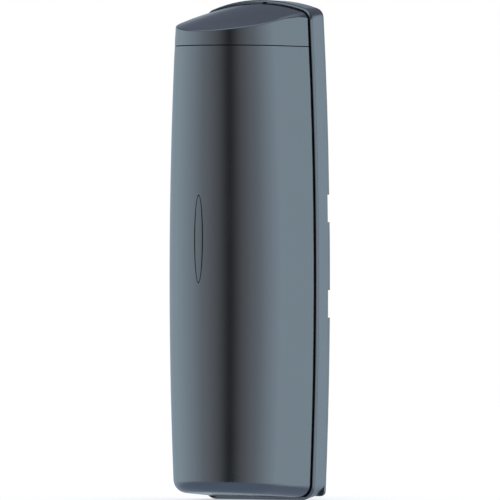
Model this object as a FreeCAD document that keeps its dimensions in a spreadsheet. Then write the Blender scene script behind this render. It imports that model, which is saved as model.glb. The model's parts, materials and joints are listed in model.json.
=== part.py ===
"""Infrared beam detector: four-beam wall unit with two gimballed optical units.

Millimetres, +Z up. The origin is on the wall plane at mid-height, the front faces -Y and +X is to the
right of someone who looks at the front. Every size below is a cell of the sheet named Sizes.
"""

import FreeCAD, Part

import math
import os

import Sketcher
from fcgear import involute
from fcgear.fcgear import FCWireBuilder

Vector = FreeCAD.Vector
Placement = FreeCAD.Placement
Rotation = FreeCAD.Rotation

X_AXIS = Vector(1, 0, 0)
Y_AXIS = Vector(0, 1, 0)
Z_AXIS = Vector(0, 0, 1)

# Slack that tells one edge from another when edges are picked for a round
TOUCH = 0.01

SIZES = {
    # Housing outline, seen from the front
    "height": 365.0,
    "lip_half_width": 52.0,
    "barrel_radius": 3380.0,
    "barrel_height": -21.0,
    "arch_radius": 120.0,
    # Depths from the wall
    "plate_thickness": 2.5,
    "rim_back_inset": 3.1,
    "base_depth": 22.0,
    "cover_reach": 80.0,
    # Chassis walls
    "wall_back": 10.0,
    "wall_thickness": 2.5,
    "rim_thickness": 2.2,
    "lip_thickness": 1.4,
    "lip_height": 3.3,
    "ledge_width": 5.1,
    # Cover
    "cover_wall": 2.5,
    "cover_gap": 1.2,
    "cover_draft": 6.8,
    "nose_profile_radius": 4500.0,
    "roof_slope": 14.3,
    "roof_front_radius": 1200.0,
    "roof_crown": 1.2,
    "floor_slope": 4.0,
    "cover_corner_radius": 8.5,
    "cover_bottom_radius": 10.0,
    "brow_radius": 0.9,
    "cap_height": 33.3,
    "cap_gap": 0.35,
    "tongue_height": 3.0,
    "tongue_clearance": 0.1,
    "corner_overlap": 0.05,
    "section_overrun": 5.0,
    "cut_overrun": 1.0,
    "oval_height": 64.0,
    "oval_width": 7.6,
    "oval_line": 0.9,
    "oval_depth": 0.35,
    "oval_centre": 8.0,
    # Gasket and catch
    "gasket_thickness": 3.3,
    "gasket_clearance": 0.2,
    "gasket_setback": 0.3,
    "catch_width": 9.5,
    "catch_clearance": 0.2,
    # Cover screw and its shelf
    "shelf_width": 18.0,
    "shelf_thickness": 3.0,
    "shelf_reach": 25.0,
    "shelf_height": 10.0,
    "shelf_gusset": 10.0,
    "cover_screw_reach": 18.0,
    "cover_screw_tip": 1.5,
    "screw_recess": 0.4,
    "boss_radius": 5.0,
    "boss_gap": 0.3,
    # Mounting plate
    "plate_corner_radius": 4.0,
    "notch_height": 20.0,
    "notch_depth": 5.0,
    "notch_spacing": 72.0,
    "band_slot_width": 3.5,
    "band_slot_land": 5.0,
    "wall_hole_radius": 2.25,
    "wall_hole_spacing_x": 60.0,
    "wall_hole_spacing_z": 270.0,
    "box_slot_spacing": 83.5,
    "box_slot_length": 8.0,
    "box_slot_radius": 2.25,
    "wire_window_width": 22.0,
    "wire_window_height": 40.0,
    "wire_entry_x": -33.0,
    "hook_spacing": 50.0,
    "hook_width": 9.0,
    "hook_thickness": 3.0,
    "hook_nose": 3.0,
    "hook_drop": 24.5,
    "hook_clearance": 0.3,
    "plate_boss_radius": 4.5,
    "plate_screw_rise": 24.5,
    # Ribs on the back of the chassis
    "rib_thickness": 1.6,
    "rib_depth": 5.0,
    "rib_spacing": 150.0,
    "rib_end_gap": 6.0,
    # Screws
    "large_screw_radius": 1.95,
    "large_head_radius": 3.7,
    "large_head_height": 2.6,
    "small_screw_radius": 1.4,
    "small_head_radius": 2.7,
    "small_head_height": 1.8,
    "thread_clearance": 0.05,
    "hole_clearance": 0.25,
    "screw_boss_radius": 3.5,
    "screw_boss_length": 4.5,
    "screw_tip_gap": 1.0,
    # Wiring grommet
    "grommet_radius": 9.0,
    "grommet_flange": 2.0,
    "grommet_flange_thickness": 1.6,
    "grommet_bore": 5.0,
    # Circuit board and what stands on it
    "board_width": 62.0,
    "board_end_gap": 7.5,
    "board_centre": 12.0,
    "board_thickness": 1.6,
    "standoff_height": 4.0,
    "standoff_radius": 3.0,
    "board_screw_edge": 4.0,
    "terminal_width": 11.0,
    "terminal_depth": 12.0,
    "terminal_end_gap": 3.3,
    "terminal_count": 8.0,
    "terminal_step": 4.0,
    "terminal_head_radius": 2.2,
    "terminal_well_radius": 2.5,
    "terminal_well_depth": 4.8,
    "terminal_well_offset": 1.0,
    "terminal_screw_height": 3.0,
    "wire_hole_radius": 1.6,
    "wire_hole_depth": 5.5,
    "wire_hole_height": 3.6,
    "socket_width": 7.0,
    "socket_height": 5.0,
    "socket_depth": 6.0,
    "socket_x": -3.0,
    "socket_edge": 1.0,
    "socket_groove": 1.0,
    "fascia_width": 39.0,
    "fascia_centre": 22.0,
    "fascia_depth": 10.0,
    "fascia_wall": 1.5,
    "fascia_corner": 3.0,
    "part_clearance": 0.3,
    "bore_floor": 1.0,
    "dial_radius": 4.0,
    "dial_stem": 1.5,
    "dial_proud": 1.2,
    "dial_slot": 1.0,
    "dial_slot_tail": 2.8,
    "dial_slot_shoulder": 2.4,
    "dial_slot_tip": 3.4,
    "dial_chamfer": 0.5,
    "dial_body": 9.0,
    "dial_body_depth": 5.0,
    "dial_x": 12.0,
    "response_dial_share": -0.62,
    "channel_dial_share": 0.06,
    "running_clearance": 0.05,
    "lamp_radius": 2.5,
    "lamp_proud": 1.0,
    "lamp_x": 31.0,
    "lamp_step_share": 0.28,
    "lamp_first_share": -0.74,
    "jack_size": 8.0,
    "jack_bore": 1.8,
    "jack_proud": 0.2,
    "jack_x": 31.0,
    "jack_share": 0.17,
    "tamper_size": 6.5,
    "tamper_depth": 6.0,
    "tamper_x": 36.0,
    "tamper_share": 0.77,
    "plunger_radius": 1.5,
    "plunger_above_fascia": 0.6,
    "plunger_travel": 1.5,
    "plunger_chamfer": 0.4,
    "striker_thickness": 2.0,
    "striker_length": 14.0,
    # Optical units
    "unit_height": 99.0,
    "pan_axis_depth": 54.0,
    "arm_spacing": 93.6,
    "arm_thickness": 2.7,
    "arm_width": 26.0,
    "bracket_back": 2.2,
    "bracket_gusset": 12.0,
    "bracket_screw_x": 16.0,
    "bracket_screw_z": 64.0,
    "pivot_radius": 4.0,
    "pivot_bore": 2.0,
    "pivot_proud": 0.6,
    "pan_gap": 0.3,
    "yoke_plate": 2.5,
    "yoke_arm": 2.8,
    "yoke_width": 56.6,
    "yoke_depth": 22.0,
    "turntable_radius": 20.0,
    "grip_width": 10.0,
    "grip_height": 6.0,
    "grip_thickness": 2.0,
    "grip_root": 3.0,
    "trunnion_radius": 2.5,
    "trunnion_root": 15.0,
    "lens_spacing": 38.0,
    "lens_radius": 18.0,
    "lens_edge": 1.5,
    "lens_crown": 3.4,
    "housing_front": 28.0,
    "housing_back": 22.0,
    "housing_rim": 2.0,
    "housing_back_radius": 12.0,
    "housing_back_spacing": 34.0,
    "housing_wall": 1.5,
    "housing_shoulder": 1.5,
    "bezel_thickness": 1.6,
    "bezel_land": 1.0,
    "lens_seat_clearance": 0.1,
    "sight_width": 36.0,
    "sight_height": 9.0,
    "sight_depth": 2.4,
    "sight_hole_x": 13.5,
    "sight_hole_radius": 1.7,
    "element_board_thickness": 1.6,
    "element_radius": 2.5,
    "element_length": 7.0,
    "element_flange": 0.4,
    "element_skirt": 1.0,
    "gear_module": 1.0,
    "sector_teeth": 30.0,
    "pinion_teeth": 10.0,
    "pressure_angle": 20.0,
    "gear_width": 2.4,
    "gear_gap": 0.4,
    "sector_span": 74.0,
    "sector_hub_radius": 5.0,
    "mesh_angle": 60.0,
    "mesh_play": 0.12,
    "pinion_axle": 2.0,
    "pinion_lobe": 5.0,
    "thumbwheel_radius": 7.0,
    "thumbwheel_width": 3.0,
    "thumbwheel_flutes": 12.0,
    "flute_radius": 0.9,
    # Internal leads
    "lead_radius": 1.1,
    "lead_bend": 4.0,
    "lead_drop": 3.2,
}


class Size:
    """A length or angle that knows its number and the sheet formula that it comes from."""

    def __init__(self, value, text):
        self.value = float(value)
        self.text = text

    @staticmethod
    def of(other):
        return other if isinstance(other, Size) else Size(other, repr(float(other)))

    def __add__(self, other):
        other = Size.of(other)
        return Size(self.value + other.value, f"({self.text} + {other.text})")

    def __sub__(self, other):
        other = Size.of(other)
        return Size(self.value - other.value, f"({self.text} - {other.text})")

    def __mul__(self, other):
        other = Size.of(other)
        return Size(self.value * other.value, f"({self.text} * {other.text})")

    def __truediv__(self, other):
        other = Size.of(other)
        return Size(self.value / other.value, f"({self.text} / {other.text})")

    def __radd__(self, other):
        return Size.of(other) + self

    def __rsub__(self, other):
        return Size.of(other) - self

    def __rmul__(self, other):
        return Size.of(other) * self

    def __neg__(self):
        return Size(0, "0") - self


def cosine(angle):
    return Size(math.cos(math.radians(angle.value)), f"cos({angle.text})")


def sine(angle):
    return Size(math.sin(math.radians(angle.value)), f"sin({angle.text})")


def tangent(angle):
    return Size(math.tan(math.radians(angle.value)), f"tan({angle.text})")


def number(size):
    return size.value if isinstance(size, Size) else float(size)


class Sheet:
    """The spreadsheet of driving sizes; each is read as an attribute."""

    def __init__(self, document):
        sheet = document.addObject("Spreadsheet::Sheet", "Sizes")
        for row, (name, value) in enumerate(SIZES.items(), start=1):
            sheet.set(f"A{row}", name)
            sheet.set(f"B{row}", str(value))
            sheet.setAlias(f"B{row}", name)
        document.recompute()
        self.cells = {name: sheet.get(name) for name in SIZES}

    def __getattr__(self, name):
        if name not in SIZES:
            raise AttributeError(name)
        return Size(self.cells[name], "Sizes." + name)


doc = FreeCAD.newDocument("BeamDetector")
S = Sheet(doc)

# Sizes that follow from the driving ones

TOP = S.height / 2
BOTTOM = -S.height / 2
COVER_INSET = S.lip_thickness + S.cover_gap
COVER_BACK = S.base_depth - S.lip_height + S.gasket_thickness
COVER_FRONT = S.base_depth + S.cover_reach
WALL_FRONT = S.wall_back + S.wall_thickness
LEDGE = S.base_depth - S.lip_height
TROUGH_INSET = S.lip_thickness + S.ledge_width
BOARD_BACK = WALL_FRONT + S.standoff_height
BOARD_FRONT = BOARD_BACK + S.board_thickness
CAP_SEAM = TOP - S.cap_height
PLATE_BOSS_Z = BOTTOM + S.plate_screw_rise
HOOK_Z = TOP - S.hook_drop
PLUNGER_PROUD = S.fascia_depth - S.tamper_depth + S.plunger_above_fascia

# The circuit board fills the bay between the two brackets, and its parts share its height
BOARD_HALF = S.unit_height - S.arm_spacing / 2 - S.arm_thickness - S.board_end_gap
SCREW_END = S.board_screw_edge + S.small_head_radius
FASCIA_HALF = BOARD_HALF - SCREW_END - S.part_clearance
TERMINAL_HALF = BOARD_HALF - SCREW_END - S.terminal_end_gap
RESPONSE_DIAL_Z = FASCIA_HALF * S.response_dial_share
CHANNEL_DIAL_Z = FASCIA_HALF * S.channel_dial_share
LAMP_FIRST_Z = FASCIA_HALF * S.lamp_first_share
LAMP_STEP = FASCIA_HALF * S.lamp_step_share
JACK_Z = FASCIA_HALF * S.jack_share
TAMPER_Z = FASCIA_HALF * S.tamper_share


def bind(obj, prop, size):
    """Tie one property of an object to a size."""
    if isinstance(size, Size):
        obj.setExpression(prop, size.text)
    else:
        setattr(obj, prop, size)


def place(obj, x=0.0, y=0.0, z=0.0, rotation=None):
    """Set an object's Placement, with each coordinate tied to its size."""
    obj.Placement = Placement(Vector(number(x), number(y), number(z)), rotation or Rotation())
    for axis, size in zip("xyz", (x, y, z)):
        if isinstance(size, Size):
            obj.setExpression(f"Placement.Base.{axis}", size.text)


class Drawing:
    """A fully tied sketch on one of a body's own planes."""

    ORIGIN = (-1, 1)

    def __init__(self, body, name, plane, offset=0.0, tilt=None):
        self.sketch = body.newObject("Sketcher::SketchObject", name)
        support = [o for o in body.Origin.OriginFeatures if o.Role == plane][0]
        self.sketch.AttachmentSupport = [(support, "")]
        self.sketch.MapMode = "FlatFace"
        angle = number(tilt) if tilt is not None else 0.0
        self.sketch.AttachmentOffset = Placement(Vector(0, 0, number(offset)), Rotation(X_AXIS, angle))
        if isinstance(offset, Size):
            self.sketch.setExpression("AttachmentOffset.Base.z", offset.text)
        if tilt is not None:
            self.sketch.setExpression("AttachmentOffset.Rotation.Angle", tilt.text)

    def tie(self, kind, *where, size=None):
        """Add a constraint, and give it its formula where it has a size."""
        if size is None:
            return self.sketch.addConstraint(Sketcher.Constraint(kind, *where))
        index = self.sketch.addConstraint(Sketcher.Constraint(kind, *where, number(size)))
        if isinstance(size, Size):
            self.sketch.setExpression(f"Constraints[{index}]", size.text)
        return index

    def fix(self, edge, end, x=None, y=None):
        """Hold one vertex at a distance from the sketch's origin."""
        if x is not None:
            self.tie("DistanceX", *self.ORIGIN, edge, end, size=x)
        if y is not None:
            self.tie("DistanceY", *self.ORIGIN, edge, end, size=y)

    def line(self, x0, y0, x1, y1):
        ends = Vector(number(x0), number(y0), 0), Vector(number(x1), number(y1), 0)
        return self.sketch.addGeometry(Part.LineSegment(*ends), False)

    def arc(self, centre, radius, start, finish):
        """An arc that runs anticlockwise from start to finish, in degrees."""
        circle = Part.Circle(Vector(*centre, 0), Z_AXIS, radius)
        return self.sketch.addGeometry(
            Part.ArcOfCircle(circle, math.radians(start), math.radians(finish)), False
        )

    def circle(self, x, y, radius):
        circle = Part.Circle(Vector(number(x), number(y), 0), Z_AXIS, number(radius))
        edge = self.sketch.addGeometry(circle, False)
        self.fix(edge, 3, x, y)
        self.tie("Radius", edge, size=radius)
        return edge

    def loop(self, points):
        """A closed outline of straight edges through points whose coordinates are sizes."""
        edges = []
        for (x0, y0), (x1, y1) in zip(points, points[1:] + points[:1]):
            edges.append(self.line(x0, y0, x1, y1))
        for edge, following in zip(edges, edges[1:] + edges[:1]):
            self.tie("Coincident", edge, 2, following, 1)
        for edge, (x, y) in zip(edges, points):
            self.fix(edge, 1, x, y)
        return edges

    def box(self, x0, y0, x1, y1):
        return self.loop([(x0, y0), (x1, y0), (x1, y1), (x0, y1)])

    def slot(self, x, y, half_length, radius):
        """An upright obround: two half circles joined by straight sides."""
        cx, cy, length, r = number(x), number(y), number(half_length), number(radius)
        cap = self.arc((cx, cy + length), r, 0, 180)
        foot = self.arc((cx, cy - length), r, 180, 360)
        right = self.line(cx + r, cy - length, cx + r, cy + length)
        left = self.line(cx - r, cy + length, cx - r, cy - length)
        self.tie("Tangent", foot, 2, right, 1)
        self.tie("Tangent", right, 2, cap, 1)
        self.tie("Tangent", cap, 2, left, 1)
        self.tie("Tangent", left, 2, foot, 1)
        self.fix(cap, 3, x, y + half_length)
        self.fix(foot, 3, x, y - half_length)
        self.tie("Radius", cap, size=radius)


def new_body(name):
    body = doc.addObject("PartDesign::Body", name)
    body.Label = name
    return body


def pad(body, drawing, length, back=False, both=False):
    feature = body.newObject("PartDesign::Pad", body.Name + "_pad")
    feature.Profile = drawing.sketch
    bind(feature, "Length", length)
    feature.Reversed = back
    if both:
        feature.SideType = "Symmetric"
    return feature


def pocket(body, drawing, length=None, back=False, both=False):
    """Cut a sketch away, against its normal unless back says along it."""
    feature = body.newObject("PartDesign::Pocket", body.Name + "_pocket")
    feature.Profile = drawing.sketch
    if length is None:
        feature.Type = "ThroughAll"
    else:
        bind(feature, "Length", length)
    feature.Reversed = back
    if both:
        feature.SideType = "Symmetric"
    return feature


def loft(body, drawings, kind="AdditiveLoft", ruled=True):
    feature = body.newObject("PartDesign::" + kind, body.Name + "_loft")
    feature.Profile = drawings[0].sketch
    feature.Sections = [d.sketch for d in drawings[1:]]
    feature.Ruled = ruled
    return feature


def revolve(body, drawing, axis="V_Axis", kind="Revolution"):
    feature = body.newObject("PartDesign::" + kind, body.Name + "_turned")
    feature.Profile = drawing.sketch
    feature.ReferenceAxis = (drawing.sketch, [axis])
    feature.Angle = 360
    return feature


def polar(body, original, axis_role, count):
    """Repeat a feature round one of the body's own axes."""
    feature = body.newObject("PartDesign::PolarPattern", body.Name + "_polar")
    feature.Originals = [original]
    axis = [o for o in body.Origin.OriginFeatures if o.Role == axis_role][0]
    feature.Axis = (axis, [""])
    feature.Angle = 360
    bind(feature, "Occurrences", count)
    body.Tip = feature
    return feature


def dress(body, kind, prop, size, wanted):
    """Round or chamfer the edges of a body's last feature that pass a test."""
    doc.recompute()
    base = body.Tip
    names = [f"Edge{i}" for i, edge in enumerate(base.Shape.Edges, start=1) if wanted(edge)]
    feature = body.newObject("PartDesign::" + kind, body.Name + "_" + kind.lower())
    feature.Base = (base, names)
    bind(feature, prop, size)
    return feature


def combine(kind, name, base, tool):
    """A Part boolean of two objects."""
    feature = doc.addObject("Part::" + kind, name)
    feature.Base = base
    feature.Tool = tool
    feature.Label = name
    return feature


def copies(name, template, places):
    """One node that holds a separate solid of the template at each place."""
    links = []
    for index, (x, y, z, rotation) in enumerate(places):
        link = doc.addObject("App::Link", f"{name}_{index + 1}")
        link.LinkedObject = template
        place(link, x, y, z, rotation)
        links.append(link)
    group = doc.addObject("Part::Compound", name)
    group.Links = links
    group.Label = name
    return group


# Outlines that several pieces share


def housing_outline(body, name, depth, inset, bottom_radius=None, crown=None):
    """The arched, barrel-sided front outline, moved in from the lip by an inset.

    The crown of the arch moves in by as much, unless it has an inset of its own.
    """
    d = Drawing(body, name, "XZ_Plane", depth)
    half = S.lip_half_width - inset
    side_r = S.barrel_radius - inset
    crown = inset if crown is None else crown
    arch_r = S.arch_radius - crown
    low_r = bottom_radius or S.cover_bottom_radius + COVER_INSET - inset
    top_r = S.cover_corner_radius + COVER_INSET - inset
    floor = BOTTOM + inset
    side_x, side_z = half - side_r, S.barrel_height
    arch_z = TOP - crown - arch_r
    rs, ra, rl, rt = (number(v) for v in (side_r, arch_r, low_r, top_r))
    sx, sz, az, fz = (number(v) for v in (side_x, side_z, arch_z, floor))
    # The bottom corner's centre lies its own radius above the floor and inside the side arc
    low_z = fz + rl
    low_x = sx + math.sqrt((rs - rl) ** 2 - (low_z - sz) ** 2)
    # The top corner's centre is where the circles inside the side arc and the arch meet
    gap = Vector(-sx, az - sz, 0)
    along = ((rs - rt) ** 2 - (ra - rt) ** 2 + gap.Length**2) / (2 * gap.Length)
    across = math.sqrt((rs - rt) ** 2 - along**2)
    unit = Vector(gap).normalize()
    top = Vector(sx, sz, 0) + unit * along + Vector(-unit.y, unit.x, 0) * across

    def heading(x, z):
        return math.degrees(math.atan2(z, x))

    low_side = heading(low_x - sx, low_z - sz)
    top_side = heading(top.x - sx, top.y - sz)
    top_arch = heading(top.x, top.y - az)
    bottom = d.line(-low_x, fz, low_x, fz)
    low_right = d.arc((low_x, low_z), rl, -90, low_side)
    right = d.arc((sx, sz), rs, low_side, top_side)
    top_right = d.arc((top.x, top.y), rt, top_side, top_arch)
    arch = d.arc((0, az), ra, top_arch, 180 - top_arch)
    top_left = d.arc((-top.x, top.y), rt, 180 - top_arch, 180 - top_side)
    left = d.arc((-sx, sz), rs, 180 - top_side, 180 - low_side)
    low_left = d.arc((-low_x, low_z), rl, 180 - low_side, 270)
    chain = [bottom, low_right, right, top_right, arch, top_left, left, low_left]
    for edge, following in zip(chain, chain[1:] + chain[:1]):
        d.tie("Tangent", edge, 2, following, 1)
    for edge, radius in (
        (low_right, low_r), (low_left, low_r), (right, side_r), (left, side_r),
        (top_right, top_r), (top_left, top_r), (arch, arch_r),
    ):
        d.tie("Radius", edge, size=radius)
    d.fix(right, 3, side_x, side_z)
    d.fix(left, 3, -side_x, side_z)
    d.fix(arch, 3, 0.0, arch_z)
    d.tie("Horizontal", bottom)
    d.fix(bottom, 1, y=floor)
    return d


def half_width_at(height, inset):
    """Half the width of the barrel-sided outline at one height."""
    rise = height - S.barrel_height
    return S.lip_half_width - inset - rise * rise / (2 * S.barrel_radius)


def cover_section(body, name, height, inset, back):
    """The D-shaped plan of the cover: drafted sides run into one round nose."""
    d = Drawing(body, name, "XY_Plane", height)
    rise = height - S.barrel_height
    front = COVER_FRONT - inset - rise * rise / (2 * S.nose_profile_radius)
    half = half_width_at(height, COVER_INSET + inset) + (COVER_BACK - back) * tangent(S.cover_draft)
    reach = front - back
    c, s = cosine(S.cover_draft), sine(S.cover_draft)
    radius = (half * c - reach * s) / (1 - s)
    centre = radius - front
    a, y0, r, cy = number(half), -number(back), number(radius), number(centre)
    draft = S.cover_draft.value
    touch = Vector(r * math.cos(math.radians(draft)), cy - r * math.sin(math.radians(draft)), 0)
    rear = d.line(a, y0, -a, y0)
    left = d.line(-a, y0, -touch.x, touch.y)
    nose = d.arc((0, cy), r, 180 + draft, 360 - draft)
    right = d.line(touch.x, touch.y, a, y0)
    d.tie("Coincident", rear, 2, left, 1)
    d.tie("Tangent", left, 2, nose, 1)
    d.tie("Tangent", nose, 2, right, 1)
    d.tie("Coincident", right, 2, rear, 1)
    d.tie("Horizontal", rear)
    d.fix(rear, 1, half, -back)
    d.fix(rear, 2, x=-half)
    d.tie("PointOnObject", nose, 3, -2)
    d.tie("Radius", nose, size=radius)
    d.tie("Angle", right, size=90 - S.cover_draft)
    return d


def roof_section(body, name, depth, arch_radius, inset, lift=0.0):
    """What the arched roof and its rounded corners leave outside, at one depth."""
    d = Drawing(body, name, "XZ_Plane", depth)
    slope = S.roof_slope
    crown = TOP - COVER_INSET + (COVER_BACK - depth) * tangent(slope) - inset / cosine(slope)
    crown += lift
    arch_r = arch_radius - inset
    corner_r = S.cover_corner_radius - inset
    total = COVER_INSET + inset
    near = half_width_at(TOP - total - corner_r, total)
    side = half_width_at(TOP - total - corner_r - near * near / (2 * S.arch_radius), total)
    side += S.corner_overlap
    ra, rc, w = number(arch_r), number(corner_r), number(side)
    az = number(crown) - ra
    cx = w - rc
    cz = az + math.sqrt((ra - rc) ** 2 - cx**2)
    meet = math.degrees(math.atan2(cz - az, cx))
    far, high = side + S.cover_reach / 2, TOP + S.cover_reach
    arch = d.arc((0, az), ra, meet, 180 - meet)
    left = d.arc((-cx, cz), rc, 180 - meet, 180)
    right = d.arc((cx, cz), rc, 0, meet)
    f, h = number(far), number(high)
    edges = [
        d.line(-w, cz, -f, cz), d.line(-f, cz, -f, h), d.line(-f, h, f, h),
        d.line(f, h, f, cz), d.line(f, cz, w, cz),
    ]
    d.tie("Tangent", arch, 2, left, 1)
    d.tie("Tangent", right, 2, arch, 1)
    d.tie("Coincident", left, 2, edges[0], 1)
    for edge, following in zip(edges, edges[1:]):
        d.tie("Coincident", edge, 2, following, 1)
    d.tie("Coincident", edges[4], 2, right, 1)
    for edge in (edges[0], edges[2], edges[4]):
        d.tie("Horizontal", edge)
    for edge in (edges[1], edges[3]):
        d.tie("Vertical", edge)
    d.fix(arch, 3, 0.0, crown - arch_r)
    d.tie("Radius", arch, size=arch_r)
    for edge, end, x in ((left, 2, side - corner_r), (right, 1, side - corner_r)):
        d.tie("Radius", edge, size=corner_r)
        d.fix(edge, 3, x=-x if edge == left else x)
        d.tie("Horizontal", edge, end, edge, 3)
    d.fix(edges[1], 2, -far, high)
    d.fix(edges[3], 1, x=far)
    return d


def cover_form(name, inset, back, rounded=True, brow=None):
    """The solid inside one skin of the cover, moved in by an inset and closed at the back."""
    body = new_body(name)
    levels = (BOTTOM - S.section_overrun, S.barrel_height, TOP + S.section_overrun)
    sections = [
        cover_section(body, f"{name}_section_{i + 1}", level, inset, back)
        for i, level in enumerate(levels)
    ]
    loft(body, sections, ruled=False)
    reach = 3 * S.cover_reach
    # The roof falls from an arch above the back edge to a nearly level line above the nose
    arch_r, level_r = S.arch_radius - COVER_INSET, S.roof_front_radius
    middle_r = 2 * arch_r * level_r / (arch_r + level_r)
    behind, ahead = COVER_BACK - 2 * S.cut_overrun, COVER_FRONT + S.cut_overrun
    loft(body, [
        roof_section(body, name + "_arch", behind, arch_r, inset),
        roof_section(body, name + "_crown", (behind + ahead) / 2, middle_r, inset, S.roof_crown),
        roof_section(body, name + "_level", ahead, level_r, inset),
    ], kind="SubtractiveLoft", ruled=False)
    floor = Drawing(body, name + "_floor", "XZ_Plane", S.base_depth, -S.floor_slope)
    ground = (BOTTOM + COVER_INSET) * cosine(S.floor_slope) + inset
    floor.box(-2 * S.lip_half_width, ground - S.cover_reach, 2 * S.lip_half_width, ground)
    pocket(body, floor, 2 * reach, both=True)
    if rounded:
        rise = S.cover_reach * tangent(S.floor_slope) + S.cover_bottom_radius
        low = number(BOTTOM + COVER_INSET + rise)
        rear = -number(back) - TOUCH
        dress(
            body, "Fillet", "Radius", S.cover_bottom_radius - inset,
            lambda e: e.BoundBox.ZMax < low and e.BoundBox.YMin < rear,
        )
    if brow is not None:
        high = number(CAP_SEAM)
        nose = -number(COVER_FRONT) / 2
        dress(
            body, "Fillet", "Radius", brow,
            lambda e: e.BoundBox.ZMin > high and e.BoundBox.YMax < nose,
        )
    return body


# Housing


def base_chassis():
    """The rear housing: drafted rim, lip and ledge, and the wall that carries the inside."""
    body = new_body("base_chassis")
    lip = housing_outline(body, "chassis_lip", S.base_depth, Size.of(0))
    rear = housing_outline(
        body, "chassis_rear", S.plate_thickness, S.rim_back_inset, crown=Size.of(0)
    )
    loft(body, [lip, rear])
    pocket(body, housing_outline(body, "chassis_mouth", S.base_depth, S.lip_thickness), S.lip_height)
    trough = housing_outline(body, "chassis_trough", LEDGE, TROUGH_INSET)
    pocket(body, trough, LEDGE - WALL_FRONT)
    hollow = housing_outline(
        body, "chassis_hollow", S.plate_thickness, S.rim_back_inset + S.rim_thickness,
        crown=S.rim_thickness,
    )
    pocket(body, hollow, S.wall_back - S.plate_thickness, back=True)
    # Ribs across the back of the wall, and bosses for the bracket screws
    ribs = Drawing(body, "chassis_ribs", "XZ_Plane", S.wall_back)
    reach = S.lip_half_width - S.rim_back_inset - S.rim_thickness
    for side in (-1, 1):
        middle = side * S.rib_spacing / 2
        low, high = middle - S.rib_thickness / 2, middle + S.rib_thickness / 2
        ribs.box(S.rib_end_gap - reach, low, reach - S.rib_end_gap, high)
    pad(body, ribs, S.rib_depth, back=True)
    bosses = Drawing(body, "chassis_bosses", "XZ_Plane", S.wall_back)
    for x, z in bracket_screw_places():
        bosses.circle(x, z, S.screw_boss_radius)
    pad(body, bosses, S.screw_boss_length, back=True)
    posts = Drawing(body, "chassis_posts", "XZ_Plane", WALL_FRONT)
    for x, z in board_screw_places():
        posts.circle(x, z, S.standoff_radius)
    pad(body, posts, S.standoff_height)
    # Shelf that the cover screw bites into, with a gusset above it
    shelf = Drawing(body, "chassis_shelf", "XZ_Plane", WALL_FRONT)
    low = BOTTOM + S.shelf_height
    shelf.box(-S.shelf_width / 2, low, S.shelf_width / 2, low + S.shelf_thickness)
    pad(body, shelf, S.shelf_reach + S.base_depth - WALL_FRONT)
    gusset = Drawing(body, "chassis_gusset", "YZ_Plane")
    high = low + S.shelf_thickness
    gusset.loop([
        (-WALL_FRONT, high), (-WALL_FRONT, high + S.shelf_gusset),
        (-WALL_FRONT - S.shelf_gusset, high),
    ])
    pad(body, gusset, S.rib_thickness, both=True)
    # Catch that bridges the dark joint at the top
    catch = Drawing(body, "chassis_catch", "XZ_Plane", S.base_depth)
    catch.box(
        -S.catch_width / 2, TOP - COVER_INSET + S.catch_clearance,
        S.catch_width / 2, TOP - S.lip_thickness + S.lip_thickness / 4,
    )
    pad(body, catch, S.lip_height, back=True)
    # Holes through the wall
    holes = Drawing(body, "chassis_holes", "XZ_Plane", WALL_FRONT)
    holes.circle(S.wire_entry_x, 0.0, S.grommet_radius)
    for x in (-S.hook_spacing / 2, S.hook_spacing / 2):
        holes.circle(x, PLATE_BOSS_Z, S.large_screw_radius + S.hole_clearance)
        holes.box(
            x - S.hook_width / 2 - S.hook_clearance, HOOK_Z - S.hook_clearance,
            x + S.hook_width / 2 + S.hook_clearance,
            HOOK_Z + S.hook_thickness + S.hook_nose + S.hook_clearance,
        )
    pocket(body, holes, S.wall_thickness)
    threads = Drawing(body, "chassis_threads", "XZ_Plane", BOARD_BACK)
    for x, z in bracket_screw_places() + board_screw_places():
        threads.circle(x, z, S.small_screw_radius + S.thread_clearance)
    pocket(body, threads, BOARD_BACK - S.wall_back + S.screw_boss_length)
    insert = Drawing(body, "chassis_insert", "XY_Plane", high)
    insert.circle(0.0, -S.base_depth - S.cover_screw_reach, S.large_screw_radius + S.thread_clearance)
    pocket(body, insert, S.shelf_thickness)
    return body


def bracket_screw_places():
    """Centres of the screws that hold both optical units' brackets to the wall."""
    return [
        (sx * S.bracket_screw_x / 2, unit * S.unit_height + sz * S.bracket_screw_z / 2)
        for unit in (1, -1) for sx in (-1, 1) for sz in (-1, 1)
    ]


def board_screw_places():
    """Centres of the four screws at the corners of the circuit board."""
    x = S.board_width / 2 - S.board_screw_edge
    z = BOARD_HALF - S.board_screw_edge
    return [(S.board_centre + sx * x, sz * z) for sx in (-1, 1) for sz in (-1, 1)]


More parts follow.
